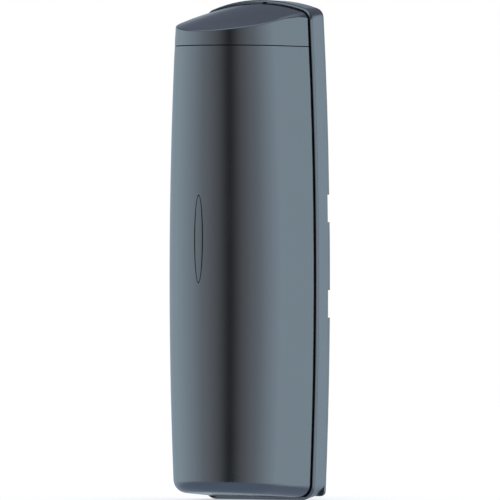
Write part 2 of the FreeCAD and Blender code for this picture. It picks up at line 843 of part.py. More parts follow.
def mounting_plate():
    """The wall plate: screw holes, box slots, band slots and notches, hooks and screw bosses."""
    body = new_body("mounting_plate")
    outline = housing_outline(
        body, "plate_outline", 0.0, S.rim_back_inset,
        bottom_radius=S.plate_corner_radius, crown=Size.of(0),
    )
    pad(body, outline, S.plate_thickness)
    bosses = Drawing(body, "plate_bosses", "XZ_Plane", S.plate_thickness)
    for x in (-S.hook_spacing / 2, S.hook_spacing / 2):
        bosses.circle(x, PLATE_BOSS_Z, S.plate_boss_radius)
    pad(body, bosses, S.wall_back - S.plate_thickness)
    # Hooks: a stem through the chassis wall and a nose up in front of it
    stems = Drawing(body, "plate_hook_stems", "XZ_Plane", S.plate_thickness)
    noses = Drawing(body, "plate_hook_noses", "XZ_Plane", WALL_FRONT + S.hook_clearance)
    for x in (-S.hook_spacing / 2, S.hook_spacing / 2):
        left, right = x - S.hook_width / 2, x + S.hook_width / 2
        top = HOOK_Z + S.hook_thickness
        stems.box(left, HOOK_Z, right, top)
        noses.box(left, HOOK_Z, right, top + S.hook_nose)
    pad(body, stems, WALL_FRONT + S.hook_clearance - S.plate_thickness)
    pad(body, noses, S.hook_thickness)
    # Openings
    cuts = Drawing(body, "plate_openings", "XZ_Plane", S.plate_thickness)
    for sx in (-1, 1):
        for sz in (-1, 1):
            x, z = sx * S.wall_hole_spacing_x / 2, sz * S.wall_hole_spacing_z / 2
            cuts.circle(x, z, S.wall_hole_radius)
            edge = S.lip_half_width - S.rim_back_inset
            notch_z = sz * S.notch_spacing / 2
            low, high = notch_z - S.notch_height / 2, notch_z + S.notch_height / 2
            inner = edge - S.notch_depth
            ends = sorted((sx * inner, sx * (edge + S.notch_depth)), key=number)
            cuts.box(ends[0], low, ends[1], high)
            slot = inner - S.band_slot_land
            ends = sorted((sx * slot, sx * (slot - S.band_slot_width)), key=number)
            cuts.box(ends[0], low, ends[1], high)
    for sz in (-1, 1):
        half = (S.box_slot_length - 2 * S.box_slot_radius) / 2
        cuts.slot(Size.of(0), sz * S.box_slot_spacing / 2, half, S.box_slot_radius)
    half = (S.wire_window_height - S.wire_window_width) / 2
    cuts.slot(S.wire_entry_x + S.wire_window_width / 4, Size.of(0), half, S.wire_window_width / 2)
    pocket(body, cuts, S.plate_thickness)
    threads = Drawing(body, "plate_threads", "XZ_Plane", S.wall_back)
    for x in (-S.hook_spacing / 2, S.hook_spacing / 2):
        threads.circle(x, PLATE_BOSS_Z, S.large_screw_radius + S.thread_clearance)
    pocket(body, threads, S.wall_back - S.plate_thickness)
    return body


def cover_gasket():
    """The rubber ring on the chassis ledge, under the back edge of the cover."""
    body = new_body("cover_gasket")
    outer = housing_outline(body, "gasket_outer", LEDGE, COVER_INSET + S.gasket_setback)
    pad(body, outer, S.gasket_thickness)
    inner = housing_outline(
        body, "gasket_inner", COVER_BACK, TROUGH_INSET - S.gasket_clearance
    )
    pocket(body, inner, S.gasket_thickness)
    return body


def slab(name, low, high):
    """A block that spans the whole housing between two heights."""
    box = doc.addObject("Part::Box", name)
    bind(box, "Length", 4 * S.lip_half_width)
    bind(box, "Width", 2 * COVER_FRONT)
    bind(box, "Height", high - low)
    place(box, -2 * S.lip_half_width, -2 * COVER_FRONT, low)
    return box


def oval(name, height, width):
    """A tall elliptical prism that stands forward of the cover."""
    ellipse = doc.addObject("Part::Ellipse", name + "_ellipse")
    bind(ellipse, "MajorRadius", height / 2)
    bind(ellipse, "MinorRadius", width / 2)
    front = -COVER_FRONT - S.cut_overrun
    place(ellipse, 0.0, front, S.oval_centre, Rotation(Z_AXIS, X_AXIS, Y_AXIS, "XZY"))
    prism = doc.addObject("Part::Extrusion", name)
    prism.Base = ellipse
    prism.DirMode = "Normal"
    prism.Solid = True
    bind(prism, "LengthFwd", S.cut_overrun + 2 * S.cover_wall)
    return prism


def cover_and_cap():
    """The moulded shell: an arched, sloping roof over a D-shaped body, parted by a hairline seam."""
    outer = cover_form("cover_outer", Size.of(0), COVER_BACK, brow=S.brow_radius)
    behind = COVER_BACK - S.cut_overrun
    core = cover_form("cover_core", S.cover_wall, behind)
    middle = S.cover_wall / 2
    rebate = cover_form("cover_rebate", middle - S.tongue_clearance / 2, behind, rounded=False)
    tongue = cover_form("cover_tongue", middle + S.tongue_clearance / 2, COVER_BACK, rounded=False)
    mark = cover_form("cover_mark", S.oval_depth, COVER_BACK, rounded=False)
    shell = combine("Cut", "cover_shell", outer, core)
    # Top cap, with a tongue that drops inside the cover
    cap_low = CAP_SEAM + S.cap_gap
    roof = combine("Common", "cap_roof", shell, slab("cap_zone", cap_low, TOP))
    zone = slab("tongue_zone", CAP_SEAM - S.tongue_height, cap_low)
    ring = combine("Common", "cap_ring", combine("Cut", "tongue_shell", tongue, core), zone)
    cap = combine("Fuse", "top_cap", roof, ring)
    cap.Refine = True
    # Cover: the shell below the seam, less the rebate for the tongue
    lower = combine("Common", "cover_lower", shell, slab("cover_zone", BOTTOM, CAP_SEAM))
    seat_low = CAP_SEAM - S.tongue_height - S.cap_gap
    seat = slab("rebate_zone", seat_low, CAP_SEAM + S.cut_overrun)
    rebated = combine("Cut", "cover_rebated", lower, combine("Common", "rebate_ring", rebate, seat))
    # Engraved oval on the nose
    line = combine(
        "Cut", "oval_ring", oval("oval_big", S.oval_height, S.oval_width),
        oval("oval_small", S.oval_height - 2 * S.oval_line, S.oval_width - 2 * S.oval_line),
    )
    skin = combine("Cut", "oval_skin", outer, mark)
    engraved = combine("Cut", "cover_engraved", rebated, combine("Common", "oval_groove", line, skin))
    # Screw boss inside the floor, and the rib that presses the tamper switch
    boss = doc.addObject("Part::Cylinder", "cover_boss")
    bind(boss, "Radius", S.boss_radius)
    bind(boss, "Height", S.shelf_height - COVER_INSET - S.boss_gap)
    screw_y = -S.base_depth - S.cover_screw_reach
    place(boss, 0.0, screw_y, BOTTOM + COVER_INSET)
    striker = doc.addObject("Part::Box", "cover_striker")
    bind(striker, "Length", S.lip_half_width - S.tamper_x + S.plunger_radius)
    bind(striker, "Width", S.striker_length)
    bind(striker, "Height", S.striker_thickness)
    tip = BOARD_FRONT + S.tamper_depth + PLUNGER_PROUD + S.part_clearance
    place(
        striker, S.tamper_x - S.plunger_radius, -tip - S.striker_length,
        TAMPER_Z - S.striker_thickness / 2,
    )
    inner_works = combine("Fuse", "cover_works", boss, striker)
    trimmed = combine("Common", "cover_works_trimmed", inner_works, outer)
    joined = combine("Fuse", "cover_joined", engraved, trimmed)
    hole = doc.addObject("Part::Cylinder", "cover_hole")
    bind(hole, "Radius", S.large_screw_radius + S.hole_clearance)
    bind(hole, "Height", S.shelf_height)
    place(hole, 0.0, screw_y, BOTTOM)
    sink = doc.addObject("Part::Cylinder", "cover_sink")
    bind(sink, "Radius", S.large_head_radius + S.hole_clearance)
    bind(sink, "Height", cover_screw_seat() - BOTTOM)
    place(sink, 0.0, screw_y, BOTTOM)
    cover = combine("Cut", "cover", joined, combine("Fuse", "cover_bore", hole, sink))
    return cover, cap


def cover_screw_seat():
    """Height of the face that the cover screw's head bears on."""
    floor = BOTTOM + COVER_INSET + S.cover_screw_reach * tangent(S.floor_slope)
    return floor + S.large_head_height + S.screw_recess


# Fasteners

# Proportions that every pan-head screw shares, as parts of its shank or head
TIP_RADIUS = 0.7
HEAD_EDGE = 0.45
HEAD_CROWN = 0.6
CROSS_REACH = 0.5
CROSS_HALF = 0.13
CROSS_DEPTH = 0.6


def screw(name, head_radius, head_height, radius, length):
    """A pan-head screw with a cross recess; the head stands up from z = 0 and the shank hangs below."""
    body = new_body(name)
    d = Drawing(body, name + "_profile", "XZ_Plane")
    edges = d.loop([
        (0.0, -length), (radius * TIP_RADIUS, -length), (radius, -length + radius), (radius, 0.0),
        (head_radius, 0.0), (head_radius, head_height * HEAD_EDGE),
        (head_radius * HEAD_CROWN, head_height), (0.0, head_height),
    ])
    revolve(body, d)
    cross = Drawing(body, name + "_cross", "XY_Plane", head_height)
    arm, half = head_radius * CROSS_REACH, head_radius * CROSS_HALF
    cross.loop([
        (half, half), (half, arm), (-half, arm), (-half, half), (-arm, half), (-arm, -half),
        (-half, -half), (-half, -arm), (half, -arm), (half, -half), (arm, -half), (arm, half),
    ])
    pocket(body, cross, head_height * CROSS_DEPTH)
    return body


FACING_FRONT = Rotation(X_AXIS, 90)
FACING_DOWN = Rotation(X_AXIS, 180)
ALONG_X = Rotation(Y_AXIS, 90)


def fasteners():
    """Every screw, grouped by size and job."""
    long_screw = screw(
        "plate_screw", S.large_head_radius, S.large_head_height, S.large_screw_radius,
        WALL_FRONT - S.plate_thickness - S.screw_tip_gap,
    )
    short_screw = screw(
        "small_screw", S.small_head_radius, S.small_head_height, S.small_screw_radius,
        S.bracket_back + S.wall_thickness + S.screw_boss_length - S.screw_tip_gap,
    )
    cover_screw = screw(
        "cover_screw", S.large_head_radius, S.large_head_height, S.large_screw_radius,
        BOTTOM + S.shelf_height + S.shelf_thickness - cover_screw_seat() + S.cover_screw_tip,
    )
    place(cover_screw, 0.0, -S.base_depth - S.cover_screw_reach, cover_screw_seat(), FACING_DOWN)
    half = S.hook_spacing / 2
    chassis = copies("chassis_screws", long_screw, [
        (x, -WALL_FRONT, PLATE_BOSS_Z, FACING_FRONT) for x in (-half, half)
    ])
    brackets = copies("bracket_screws", short_screw, [
        (x, -WALL_FRONT - S.bracket_back, z, FACING_FRONT) for x, z in bracket_screw_places()
    ])
    board = copies("board_screws", short_screw, [
        (x, -BOARD_FRONT, z, FACING_FRONT) for x, z in board_screw_places()
    ])
    return [cover_screw, chassis, brackets, board]


# Electronics in the middle bay


def wiring_grommet():
    """The rubber ring in the chassis wall that the field wiring comes through."""
    body = new_body("wiring_grommet")
    d = Drawing(body, "grommet_profile", "XZ_Plane")
    r, f, t = S.grommet_radius, S.grommet_flange, S.grommet_flange_thickness
    low, high = -S.wall_thickness / 2, S.wall_thickness / 2
    d.loop([
        (S.grommet_bore, low - t), (r + f, low - t), (r + f, low), (r, low),
        (r, high), (r + f, high), (r + f, high + t), (S.grommet_bore, high + t),
    ])
    revolve(body, d)
    place(body, S.wire_entry_x, -(S.wall_back + WALL_FRONT) / 2, 0.0, FACING_FRONT)
    return body


def circuit_board():
    body = new_body("circuit_board")
    d = Drawing(body, "board_outline", "XZ_Plane", BOARD_BACK)
    x = S.board_width / 2
    d.box(S.board_centre - x, -BOARD_HALF, S.board_centre + x, BOARD_HALF)
    pad(body, d, S.board_thickness)
    holes = Drawing(body, "board_holes", "XZ_Plane", BOARD_FRONT)
    for hole_x, hole_z in board_screw_places():
        holes.circle(hole_x, hole_z, S.small_screw_radius + S.hole_clearance)
    pocket(body, holes, S.board_thickness)
    return body


def terminal_x():
    """Centre of the terminal row, inside the board's left edge and clear of its screws."""
    return S.board_centre - S.board_width / 2 + S.terminal_width / 2


def terminal_places():
    count = int(round(S.terminal_count.value))
    pitch = 2 * TERMINAL_HALF / S.terminal_count
    return [pitch / 2 - TERMINAL_HALF + pitch * i for i in range(count)]


def terminal_block():
    """A stepped block: screw wells in its front and wire holes in its left side."""
    body = new_body("terminal_block")
    x, half = terminal_x(), TERMINAL_HALF
    left, right = x - S.terminal_width / 2, x + S.terminal_width / 2
    d = Drawing(body, "terminal_section", "XY_Plane", -half)
    back, front = -BOARD_FRONT, -BOARD_FRONT - S.terminal_depth
    d.loop([
        (left, back), (left, front + S.terminal_step), (left + S.terminal_step / 2, front),
        (right, front), (right, back),
    ])
    pad(body, d, 2 * half)
    wells = Drawing(body, "terminal_wells", "XZ_Plane", BOARD_FRONT + S.terminal_depth)
    wires = Drawing(body, "terminal_wires", "YZ_Plane", left)
    for z in terminal_places():
        wells.circle(x + S.terminal_well_offset, z, S.terminal_well_radius)
        wires.circle(-BOARD_FRONT - S.wire_hole_height, z, S.wire_hole_radius)
    pocket(body, wells, S.terminal_well_depth)
    pocket(body, wires, S.wire_hole_depth, back=True)
    return body


def terminal_screws():
    """Slotted clamp screws at the bottom of the wells."""
    body = new_body("terminal_screw")
    d = Drawing(body, "terminal_screw_profile", "XY_Plane")
    d.circle(0.0, 0.0, S.terminal_head_radius)
    pad(body, d, S.terminal_screw_height)
    slot = Drawing(body, "terminal_screw_slot", "XY_Plane", S.terminal_screw_height)
    half = S.dial_slot / 2
    slot.box(-2 * S.terminal_head_radius, -half, 2 * S.terminal_head_radius, half)
    pocket(body, slot, half * 2)
    depth = BOARD_FRONT + S.terminal_depth - S.terminal_well_depth
    return copies("terminal_screws", body, [
        (terminal_x() + S.terminal_well_offset, -depth, z, FACING_FRONT) for z in terminal_places()
    ])


def socket_z():
    return BOARD_HALF - S.socket_height / 2 - S.socket_edge


def lead_sockets():
    """Plug-in sockets for the two optical units' leads."""
    body = new_body("lead_socket")
    d = Drawing(body, "socket_outline", "XY_Plane")
    half = S.socket_width / 2
    d.box(-half, -S.socket_depth, half, 0.0)
    pad(body, d, S.socket_height)
    grooves = Drawing(body, "socket_grooves", "XZ_Plane", S.socket_depth)
    groove = S.socket_groove
    for x in (-half / 2, half / 2):
        grooves.box(x - groove / 2, groove, x + groove / 2, S.socket_height - groove)
    pocket(body, grooves, groove)
    low = socket_z() - S.socket_height / 2
    return copies("lead_sockets", body, [
        (S.socket_x, -BOARD_FRONT, low, None),
        (S.socket_x, -BOARD_FRONT, -low, Rotation(Y_AXIS, 180)),
    ])


def lamp_places():
    return [LAMP_FIRST_Z + LAMP_STEP * i for i in range(3)]


def control_fascia():
    """The moulded lid over the controls, with a window for each of them."""
    body = new_body("control_fascia")
    half_x = S.fascia_width / 2
    half_z = FASCIA_HALF
    left, right = S.fascia_centre - half_x, S.fascia_centre + half_x
    d = Drawing(body, "fascia_outline", "XZ_Plane", BOARD_FRONT)
    d.box(left, -half_z, right, half_z)
    pad(body, d, S.fascia_depth)
    dress(
        body, "Fillet", "Radius", S.fascia_corner,
        lambda e: e.BoundBox.XLength < TOUCH and e.BoundBox.ZLength < TOUCH,
    )
    inside = Drawing(body, "fascia_inside", "XZ_Plane", BOARD_FRONT)
    w = S.fascia_wall
    inside.box(left + w, -half_z + w, right - w, half_z - w)
    pocket(body, inside, S.fascia_depth - w, back=True)
    windows = Drawing(body, "fascia_windows", "XZ_Plane", BOARD_FRONT + S.fascia_depth)
    for z in (RESPONSE_DIAL_Z, CHANNEL_DIAL_Z):
        windows.circle(S.dial_x, z, S.dial_radius + S.part_clearance)
    for z in lamp_places():
        windows.circle(S.lamp_x, z, S.lamp_radius + S.part_clearance)
    jack = S.jack_size / 2 + S.part_clearance
    windows.box(S.jack_x - jack, JACK_Z - jack, S.jack_x + jack, JACK_Z + jack)
    switch = S.tamper_size / 2 + S.part_clearance
    windows.box(
        S.tamper_x - switch, TAMPER_Z - switch, S.tamper_x + switch, TAMPER_Z + switch
    )
    pocket(body, windows, w)
    return body


def dial_body(name, z):
    """A square potentiometer or rotary switch body with a bore for its dial."""
    body = new_body(name)
    d = Drawing(body, name + "_outline", "XZ_Plane", BOARD_FRONT)
    half = S.dial_body / 2
    d.box(S.dial_x - half, z - half, S.dial_x + half, z + half)
    pad(body, d, S.dial_body_depth)
    bore = Drawing(body, name + "_bore", "XZ_Plane", BOARD_FRONT + S.dial_body_depth)
    bore.circle(S.dial_x, z, S.dial_stem + S.running_clearance)
    pocket(body, bore, S.dial_body_depth - S.bore_floor)
    return body


def dial(name, z):
    """A slotted, fluted dial on a stem."""
    body = new_body(name)
    stem = S.dial_body_depth - S.bore_floor - S.part_clearance
    gap = S.part_clearance
    head = S.fascia_depth - S.dial_body_depth - gap + S.dial_proud
    d = Drawing(body, name + "_profile", "XZ_Plane")
    d.loop([
        (0.0, -stem), (S.dial_stem, -stem), (S.dial_stem, gap), (S.dial_radius, gap),
        (S.dial_radius, gap + head - S.dial_chamfer), (S.dial_radius - S.dial_chamfer, gap + head),
        (0.0, gap + head),
    ])
    revolve(body, d)
    slot = Drawing(body, name + "_slot", "XY_Plane", gap + head)
    half = S.dial_slot / 2
    slot.loop([
        (-half, -S.dial_slot_tail), (half, -S.dial_slot_tail), (half, S.dial_slot_shoulder),
        (0.0, S.dial_slot_tip), (-half, S.dial_slot_shoulder),
    ])
    pocket(body, slot, S.dial_slot)
    place(body, S.dial_x, -BOARD_FRONT - S.dial_body_depth, z, FACING_FRONT)
    return body


def indicator_lamps():
    """Three domed lamps that look out of the fascia."""
    body = new_body("indicator_lamp")
    d = Drawing(body, "lamp_profile", "XZ_Plane")
    length = S.fascia_depth + S.lamp_proud
    r = S.lamp_radius
    shoulder = length - r
    base = d.line(0.0, 0.0, r, 0.0)
    side = d.line(r, 0.0, r, shoulder)
    dome = d.arc((0, number(shoulder)), number(r), 0, 90)
    axis = d.line(0.0, length, 0.0, 0.0)
    d.tie("Coincident", base, 2, side, 1)
    d.tie("Tangent", side, 2, dome, 1)
    d.tie("Coincident", dome, 2, axis, 1)
    d.tie("Coincident", axis, 2, base, 1)
    d.tie("Horizontal", base)
    d.tie("Vertical", axis)
    d.fix(base, 1, 0.0, 0.0)
    d.fix(dome, 3, 0.0, shoulder)
    d.tie("Radius", dome, size=r)
    revolve(body, d)
    return copies("indicator_lamps", body, [
        (S.lamp_x, -BOARD_FRONT, z, FACING_FRONT) for z in lamp_places()
    ])


def monitor_jack():
    """The test-meter jack that is used to align the beams."""
    body = new_body("monitor_jack")
    d = Drawing(body, "jack_outline", "XZ_Plane", BOARD_FRONT)
    half = S.jack_size / 2
    d.box(S.jack_x - half, JACK_Z - half, S.jack_x + half, JACK_Z + half)
    height = S.fascia_depth + S.jack_proud
    pad(body, d, height)
    bore = Drawing(body, "jack_bore", "XZ_Plane", BOARD_FRONT + height)
    bore.circle(S.jack_x, JACK_Z, S.jack_bore)
    pocket(body, bore, height - S.bore_floor)
    return body


def tamper_switch():
    body = new_body("tamper_switch")
    d = Drawing(body, "tamper_outline", "XZ_Plane", BOARD_FRONT)
    half = S.tamper_size / 2
    d.box(S.tamper_x - half, TAMPER_Z - half, S.tamper_x + half, TAMPER_Z + half)
    pad(body, d, S.tamper_depth)
    bore = Drawing(body, "tamper_bore", "XZ_Plane", BOARD_FRONT + S.tamper_depth)
    bore.circle(S.tamper_x, TAMPER_Z, S.plunger_radius + S.running_clearance)
    pocket(body, bore, S.tamper_depth - S.bore_floor)
    return body


def tamper_plunger():
    """The button that the cover's rib holds down; it can still travel further in."""
    body = new_body("tamper_plunger")
    d = Drawing(body, "plunger_profile", "XZ_Plane")
    r, proud = S.plunger_radius, PLUNGER_PROUD
    inside = S.tamper_depth - S.bore_floor - S.plunger_travel - S.part_clearance
    tip = S.plunger_chamfer
    d.loop([(0.0, -inside), (r, -inside), (r, proud - tip), (r - tip, proud), (0.0, proud)])
    revolve(body, d)
    place(body, S.tamper_x, -BOARD_FRONT - S.tamper_depth, TAMPER_Z, FACING_FRONT)
    return body


# Optical units: each is built about the point where its pan and tilt axes cross


def arm_inner():
    return S.arm_spacing / 2


def bracket_reach():
    """From the pan axis back to the chassis wall."""
    return S.pan_axis_depth - WALL_FRONT


def bracket(name):
    """A C-shaped bracket: a back plate on the chassis wall and two arms with the pan bearings."""
    body = new_body(name)
    back, inner = bracket_reach(), arm_inner()
    outer = inner + S.arm_thickness
    half = S.arm_width / 2
    # Back plate
    plate = Drawing(body, name + "_plate", "XZ_Plane", -back)
    plate.box(-half, -outer, half, outer)
    pad(body, plate, S.bracket_back)
    # Arms with round ends
    for level, side in ((inner, 1), (-outer, -1)):
        arm = Drawing(body, f"{name}_arm{side}", "XY_Plane", level)
        tip = arm.arc((0, 0), number(half), 180, 360)
        h, b = number(half), number(back)
        right = arm.line(h, 0, h, b)
        rear = arm.line(h, b, -h, b)
        left = arm.line(-h, b, -h, 0)
        arm.tie("Tangent", tip, 2, right, 1)
        arm.tie("Coincident", right, 2, rear, 1)
        arm.tie("Coincident", rear, 2, left, 1)
        arm.tie("Tangent", left, 2, tip, 1)
        arm.fix(tip, 3, 0.0, 0.0)
        arm.tie("Radius", tip, size=half)
        arm.tie("Horizontal", rear)
        arm.fix(rear, 1, y=back)
        arm.tie("Vertical", right)
        pad(body, arm, S.arm_thickness)
    # Gussets in the two inside corners, on both edges
    web = S.bracket_gusset
    for side in (-1, 1):
        gusset = Drawing(body, f"{name}_gusset{side}", "YZ_Plane", side * (half - S.rib_thickness / 2))
        face = back - S.bracket_back
        for z, turn in ((inner, -1), (-inner, 1)):
            gusset.loop([(face, z), (face, z + turn * web), (face - web, z)][::turn])
        pad(body, gusset, S.rib_thickness, both=True)
    bores = Drawing(body, name + "_bores", "XY_Plane", outer)
    bores.circle(0.0, 0.0, S.pivot_radius + S.running_clearance)
    pocket(body, bores, 2 * outer)
    holes = Drawing(body, name + "_holes", "XZ_Plane", -back + S.bracket_back)
    for sx in (-1, 1):
        for sz in (-1, 1):
            holes.circle(
                sx * S.bracket_screw_x / 2, sz * S.bracket_screw_z / 2,
                S.small_screw_radius + S.hole_clearance,
            )
    pocket(body, holes, S.bracket_back)
    return body


def pinion_place():
    """Where the tilt pinion's axis crosses the yoke arm, back and down from the trunnion."""
    distance = S.gear_module * (S.sector_teeth + S.pinion_teeth) / 2 + S.mesh_play
    return distance * cosine(S.mesh_angle), -distance * sine(S.mesh_angle)


def yoke(name):
    """The turning frame: a turntable top and bottom with hollow pivots, joined by two side arms."""
    body = new_body(name)
    inner = arm_inner() - S.pan_gap - S.yoke_plate
    outer = arm_inner() - S.pan_gap
    half_x, half_y = S.yoke_width / 2, S.yoke_depth / 2
    ring = Drawing(body, name + "_ring", "XZ_Plane", -half_y)
    ring.box(-half_x, -outer, half_x, outer)
    ring.box(-half_x + S.yoke_arm, -inner, half_x - S.yoke_arm, inner)
    pad(body, ring, S.yoke_depth)
    # Turntable discs and pivots
    for name_end, start, turn in (("top", inner, 1), ("foot", -inner, -1)):
        disc = Drawing(body, f"{name}_disc_{name_end}", "XY_Plane", start)
        disc.circle(0.0, 0.0, S.turntable_radius)
        pad(body, disc, S.yoke_plate, back=turn < 0)
        pivot = Drawing(body, f"{name}_pivot_{name_end}", "XY_Plane", turn * outer)
        pivot.circle(0.0, 0.0, S.pivot_radius)
        pad(body, pivot, S.pan_gap + S.arm_thickness + S.pivot_proud, back=turn < 0)
    tip = outer + S.pan_gap + S.arm_thickness + S.pivot_proud
    bore = Drawing(body, name + "_bore", "XY_Plane", tip)
    bore.circle(0.0, 0.0, S.pivot_bore)
    pocket(body, bore, 2 * tip)
    # Finger grip on the front of the lower turntable
    grip = Drawing(body, name + "_grip", "XY_Plane", -outer)
    front = S.turntable_radius + S.grip_height
    grip.box(-S.grip_width / 2, -front, S.grip_width / 2, S.grip_root - S.turntable_radius)
    pad(body, grip, S.grip_thickness)
    # Lobe on the right arm that carries the tilt pinion, then the bearings
    pinion_y, pinion_z = pinion_place()
    lobe = Drawing(body, name + "_lobe", "YZ_Plane", half_x)
    lobe.circle(pinion_y, pinion_z, S.pinion_lobe)
    pad(body, lobe, S.yoke_arm, back=True)
    trunnions = Drawing(body, name + "_trunnions", "YZ_Plane", half_x)
    trunnions.circle(0.0, 0.0, S.trunnion_radius + S.running_clearance)
    pocket(body, trunnions, S.yoke_width)
    axle = Drawing(body, name + "_axle", "YZ_Plane", half_x)
    axle.circle(pinion_y, pinion_z, S.pinion_axle + S.running_clearance)
    pocket(body, axle, S.yoke_arm)
    return body


def stadium(body, name, depth, spacing, radius):
    """Two stacked half circles joined by straight sides: the outline of a twin-lens housing."""
    d = Drawing(body, name, "XZ_Plane", depth)
    d.slot(Size.of(0), Size.of(0), spacing / 2, radius)
    return d


def lens_housing(name):
    """The tapering twin-lens housing, hollow, with trunnions and the toothed tilt sector."""
    body = new_body(name)
    front_r = S.lens_radius + S.housing_rim
    outer = [
        stadium(body, name + "_front", S.housing_front, S.lens_spacing, front_r),
        stadium(body, name + "_back", -S.housing_back, S.housing_back_spacing, S.housing_back_radius),
    ]
    loft(body, outer)
    w = S.housing_wall
    inner = [
        stadium(
            body, name + "_throat", S.housing_front, S.lens_spacing, front_r - w - S.housing_shoulder
        ),
        stadium(
            body, name + "_tail", -S.housing_back, S.housing_back_spacing, S.housing_back_radius - w
        ),
    ]
    loft(body, inner, kind="SubtractiveLoft")
    seat = Drawing(body, name + "_seats", "XZ_Plane", S.housing_front)
    for side in (-1, 1):
        seat.circle(0.0, side * S.lens_spacing / 2, S.lens_radius + S.lens_seat_clearance)
    pocket(body, seat, S.lens_edge)
    # Trunnions reach from inside the tapered wall through the yoke arms
    for side in (-1, 1):
        stub = Drawing(body, f"{name}_trunnion{side}", "YZ_Plane", side * S.trunnion_root)
        stub.circle(0.0, 0.0, S.trunnion_radius)
        pad(body, stub, S.yoke_width / 2 - S.trunnion_root, back=side < 0)
    return body


def gear_blank(name, teeth, width):
    """A flat spur gear of the shared module, centred on the Z axis."""
    outline = FCWireBuilder()
    involute.CreateExternalGear(
        outline, S.gear_module.value, int(round(teeth.value)), S.pressure_angle.value, True
    )
    wire = Part.Wire([edge.toShape() for edge in outline.wire])
    feature = doc.addObject("Part::Feature", name)
    feature.Shape = Part.Face(wire).extrude(Vector(0, 0, width.value))
    return feature


def sector_faces():
    """Inner and outer face of the gears, just inside the right arm of the yoke."""
    outer = S.yoke_width / 2 - S.yoke_arm - S.gear_gap
    return outer - S.gear_width, outer


def toothed_sector(name):
    """The part of a spur gear that the pinion reaches, with a hub round the trunnion."""
    low, high = sector_faces()
    turn = 90 - S.mesh_angle.value
    gear = gear_blank(name + "_gear", S.sector_teeth, S.gear_width)
    gear.Placement = Placement(Vector(low.value, 0, 0), Rotation(X_AXIS, turn) * ALONG_X)
    radius = S.gear_module * S.sector_teeth
    wedge = doc.addObject("Part::Cylinder", name + "_wedge")
    bind(wedge, "Radius", radius)
    bind(wedge, "Height", S.gear_width)
    bind(wedge, "Angle", S.sector_span)
    # The wedge starts half its span to one side of the line to the pinion
    start = turn - S.sector_span.value / 2
    wedge.Placement = Placement(Vector(low.value, 0, 0), Rotation(X_AXIS, start) * ALONG_X)
    hub = doc.addObject("Part::Cylinder", name + "_hub")
    bind(hub, "Radius", S.sector_hub_radius)
    bind(hub, "Height", S.gear_width)
    hub.Placement = Placement(Vector(low.value, 0, 0), ALONG_X)
    zone = combine("Fuse", name + "_zone", wedge, hub)
    return combine("Common", name, gear, zone)


def geared_housing():
    housing = lens_housing("twin_housing")
    geared = combine("Fuse", "lens_housing", housing, toothed_sector("tilt_sector"))
    geared.Refine = True
    return geared


def lens():
    """A plano-convex lens with a flat edge flange; its back face is at z = 0."""
    body = new_body("lens")
    d = Drawing(body, "lens_profile", "XZ_Plane")
    rim = S.lens_radius - S.bezel_land - S.lens_seat_clearance
    top = S.lens_edge + S.lens_crown
    curve = (rim * rim + S.lens_crown * S.lens_crown) / (2 * S.lens_crown)
    centre = number(top - curve)
    back = d.line(0.0, 0.0, S.lens_radius, 0.0)
    edge = d.line(S.lens_radius, 0.0, S.lens_radius, S.lens_edge)
    flange = d.line(S.lens_radius, S.lens_edge, rim, S.lens_edge)
    start = math.degrees(math.atan2(S.lens_edge.value - centre, rim.value))
    dome = d.arc((0, centre), curve.value, start, 90)
    axis = d.line(0.0, top, 0.0, 0.0)
    chain = [back, edge, flange, dome, axis]
    for one, other in zip(chain, chain[1:] + chain[:1]):
        d.tie("Coincident", one, 2, other, 1)
    d.fix(back, 1, 0.0, 0.0)
    d.fix(edge, 1, S.lens_radius, 0.0)
    d.fix(flange, 1, S.lens_radius, S.lens_edge)
    d.fix(dome, 1, rim, S.lens_edge)
    d.fix(axis, 1, 0.0, top)
    d.tie("PointOnObject", dome, 3, -2)
    revolve(body, d)
    return body


def lens_pair():
    seat = S.housing_front - S.lens_edge
    half = S.lens_spacing / 2
    return copies("lens_pair", lens(), [(0.0, -seat, z, FACING_FRONT) for z in (half, -half)])


def lens_bezel():
    """The ring plate that holds both lenses in their seats."""
    body = new_body("lens_bezel")
    pad(
        body,
        stadium(body, "bezel_outline", S.housing_front, S.lens_spacing, S.lens_radius + S.housing_rim),
        S.bezel_thickness,
    )
    openings = Drawing(body, "bezel_openings", "XZ_Plane", S.housing_front + S.bezel_thickness)
    for side in (-1, 1):
        openings.circle(0.0, side * S.lens_spacing / 2, S.lens_radius - S.bezel_land)
    pocket(body, openings, S.bezel_thickness)
    return body


def sight():
    """The aiming sight: a waisted bar between the lenses with a peep hole at each end."""
    body = new_body("sight")
    front = S.housing_front + S.bezel_thickness
    d = Drawing(body, "sight_outline", "XZ_Plane", front)
    d.box(-S.sight_width / 2, -S.sight_height / 2, S.sight_width / 2, S.sight_height / 2)
    pad(body, d, S.sight_depth)
    waist = Drawing(body, "sight_waist", "XZ_Plane", front + S.sight_depth)
    for side in (-1, 1):
        waist.circle(0.0, side * S.lens_spacing / 2, S.lens_radius - S.bezel_land + S.part_clearance)
        waist.circle(side * S.sight_hole_x, 0.0, S.sight_hole_radius)
    pocket(body, waist, S.sight_depth)
    return body


def element_board():
    """The small board that closes the back of the housing."""
    body = new_body("element_board")
    outline = stadium(
        body, "element_board_outline", -S.housing_back, S.housing_back_spacing, S.housing_back_radius
    )
    pad(body, outline, S.element_board_thickness, back=True)
    return body


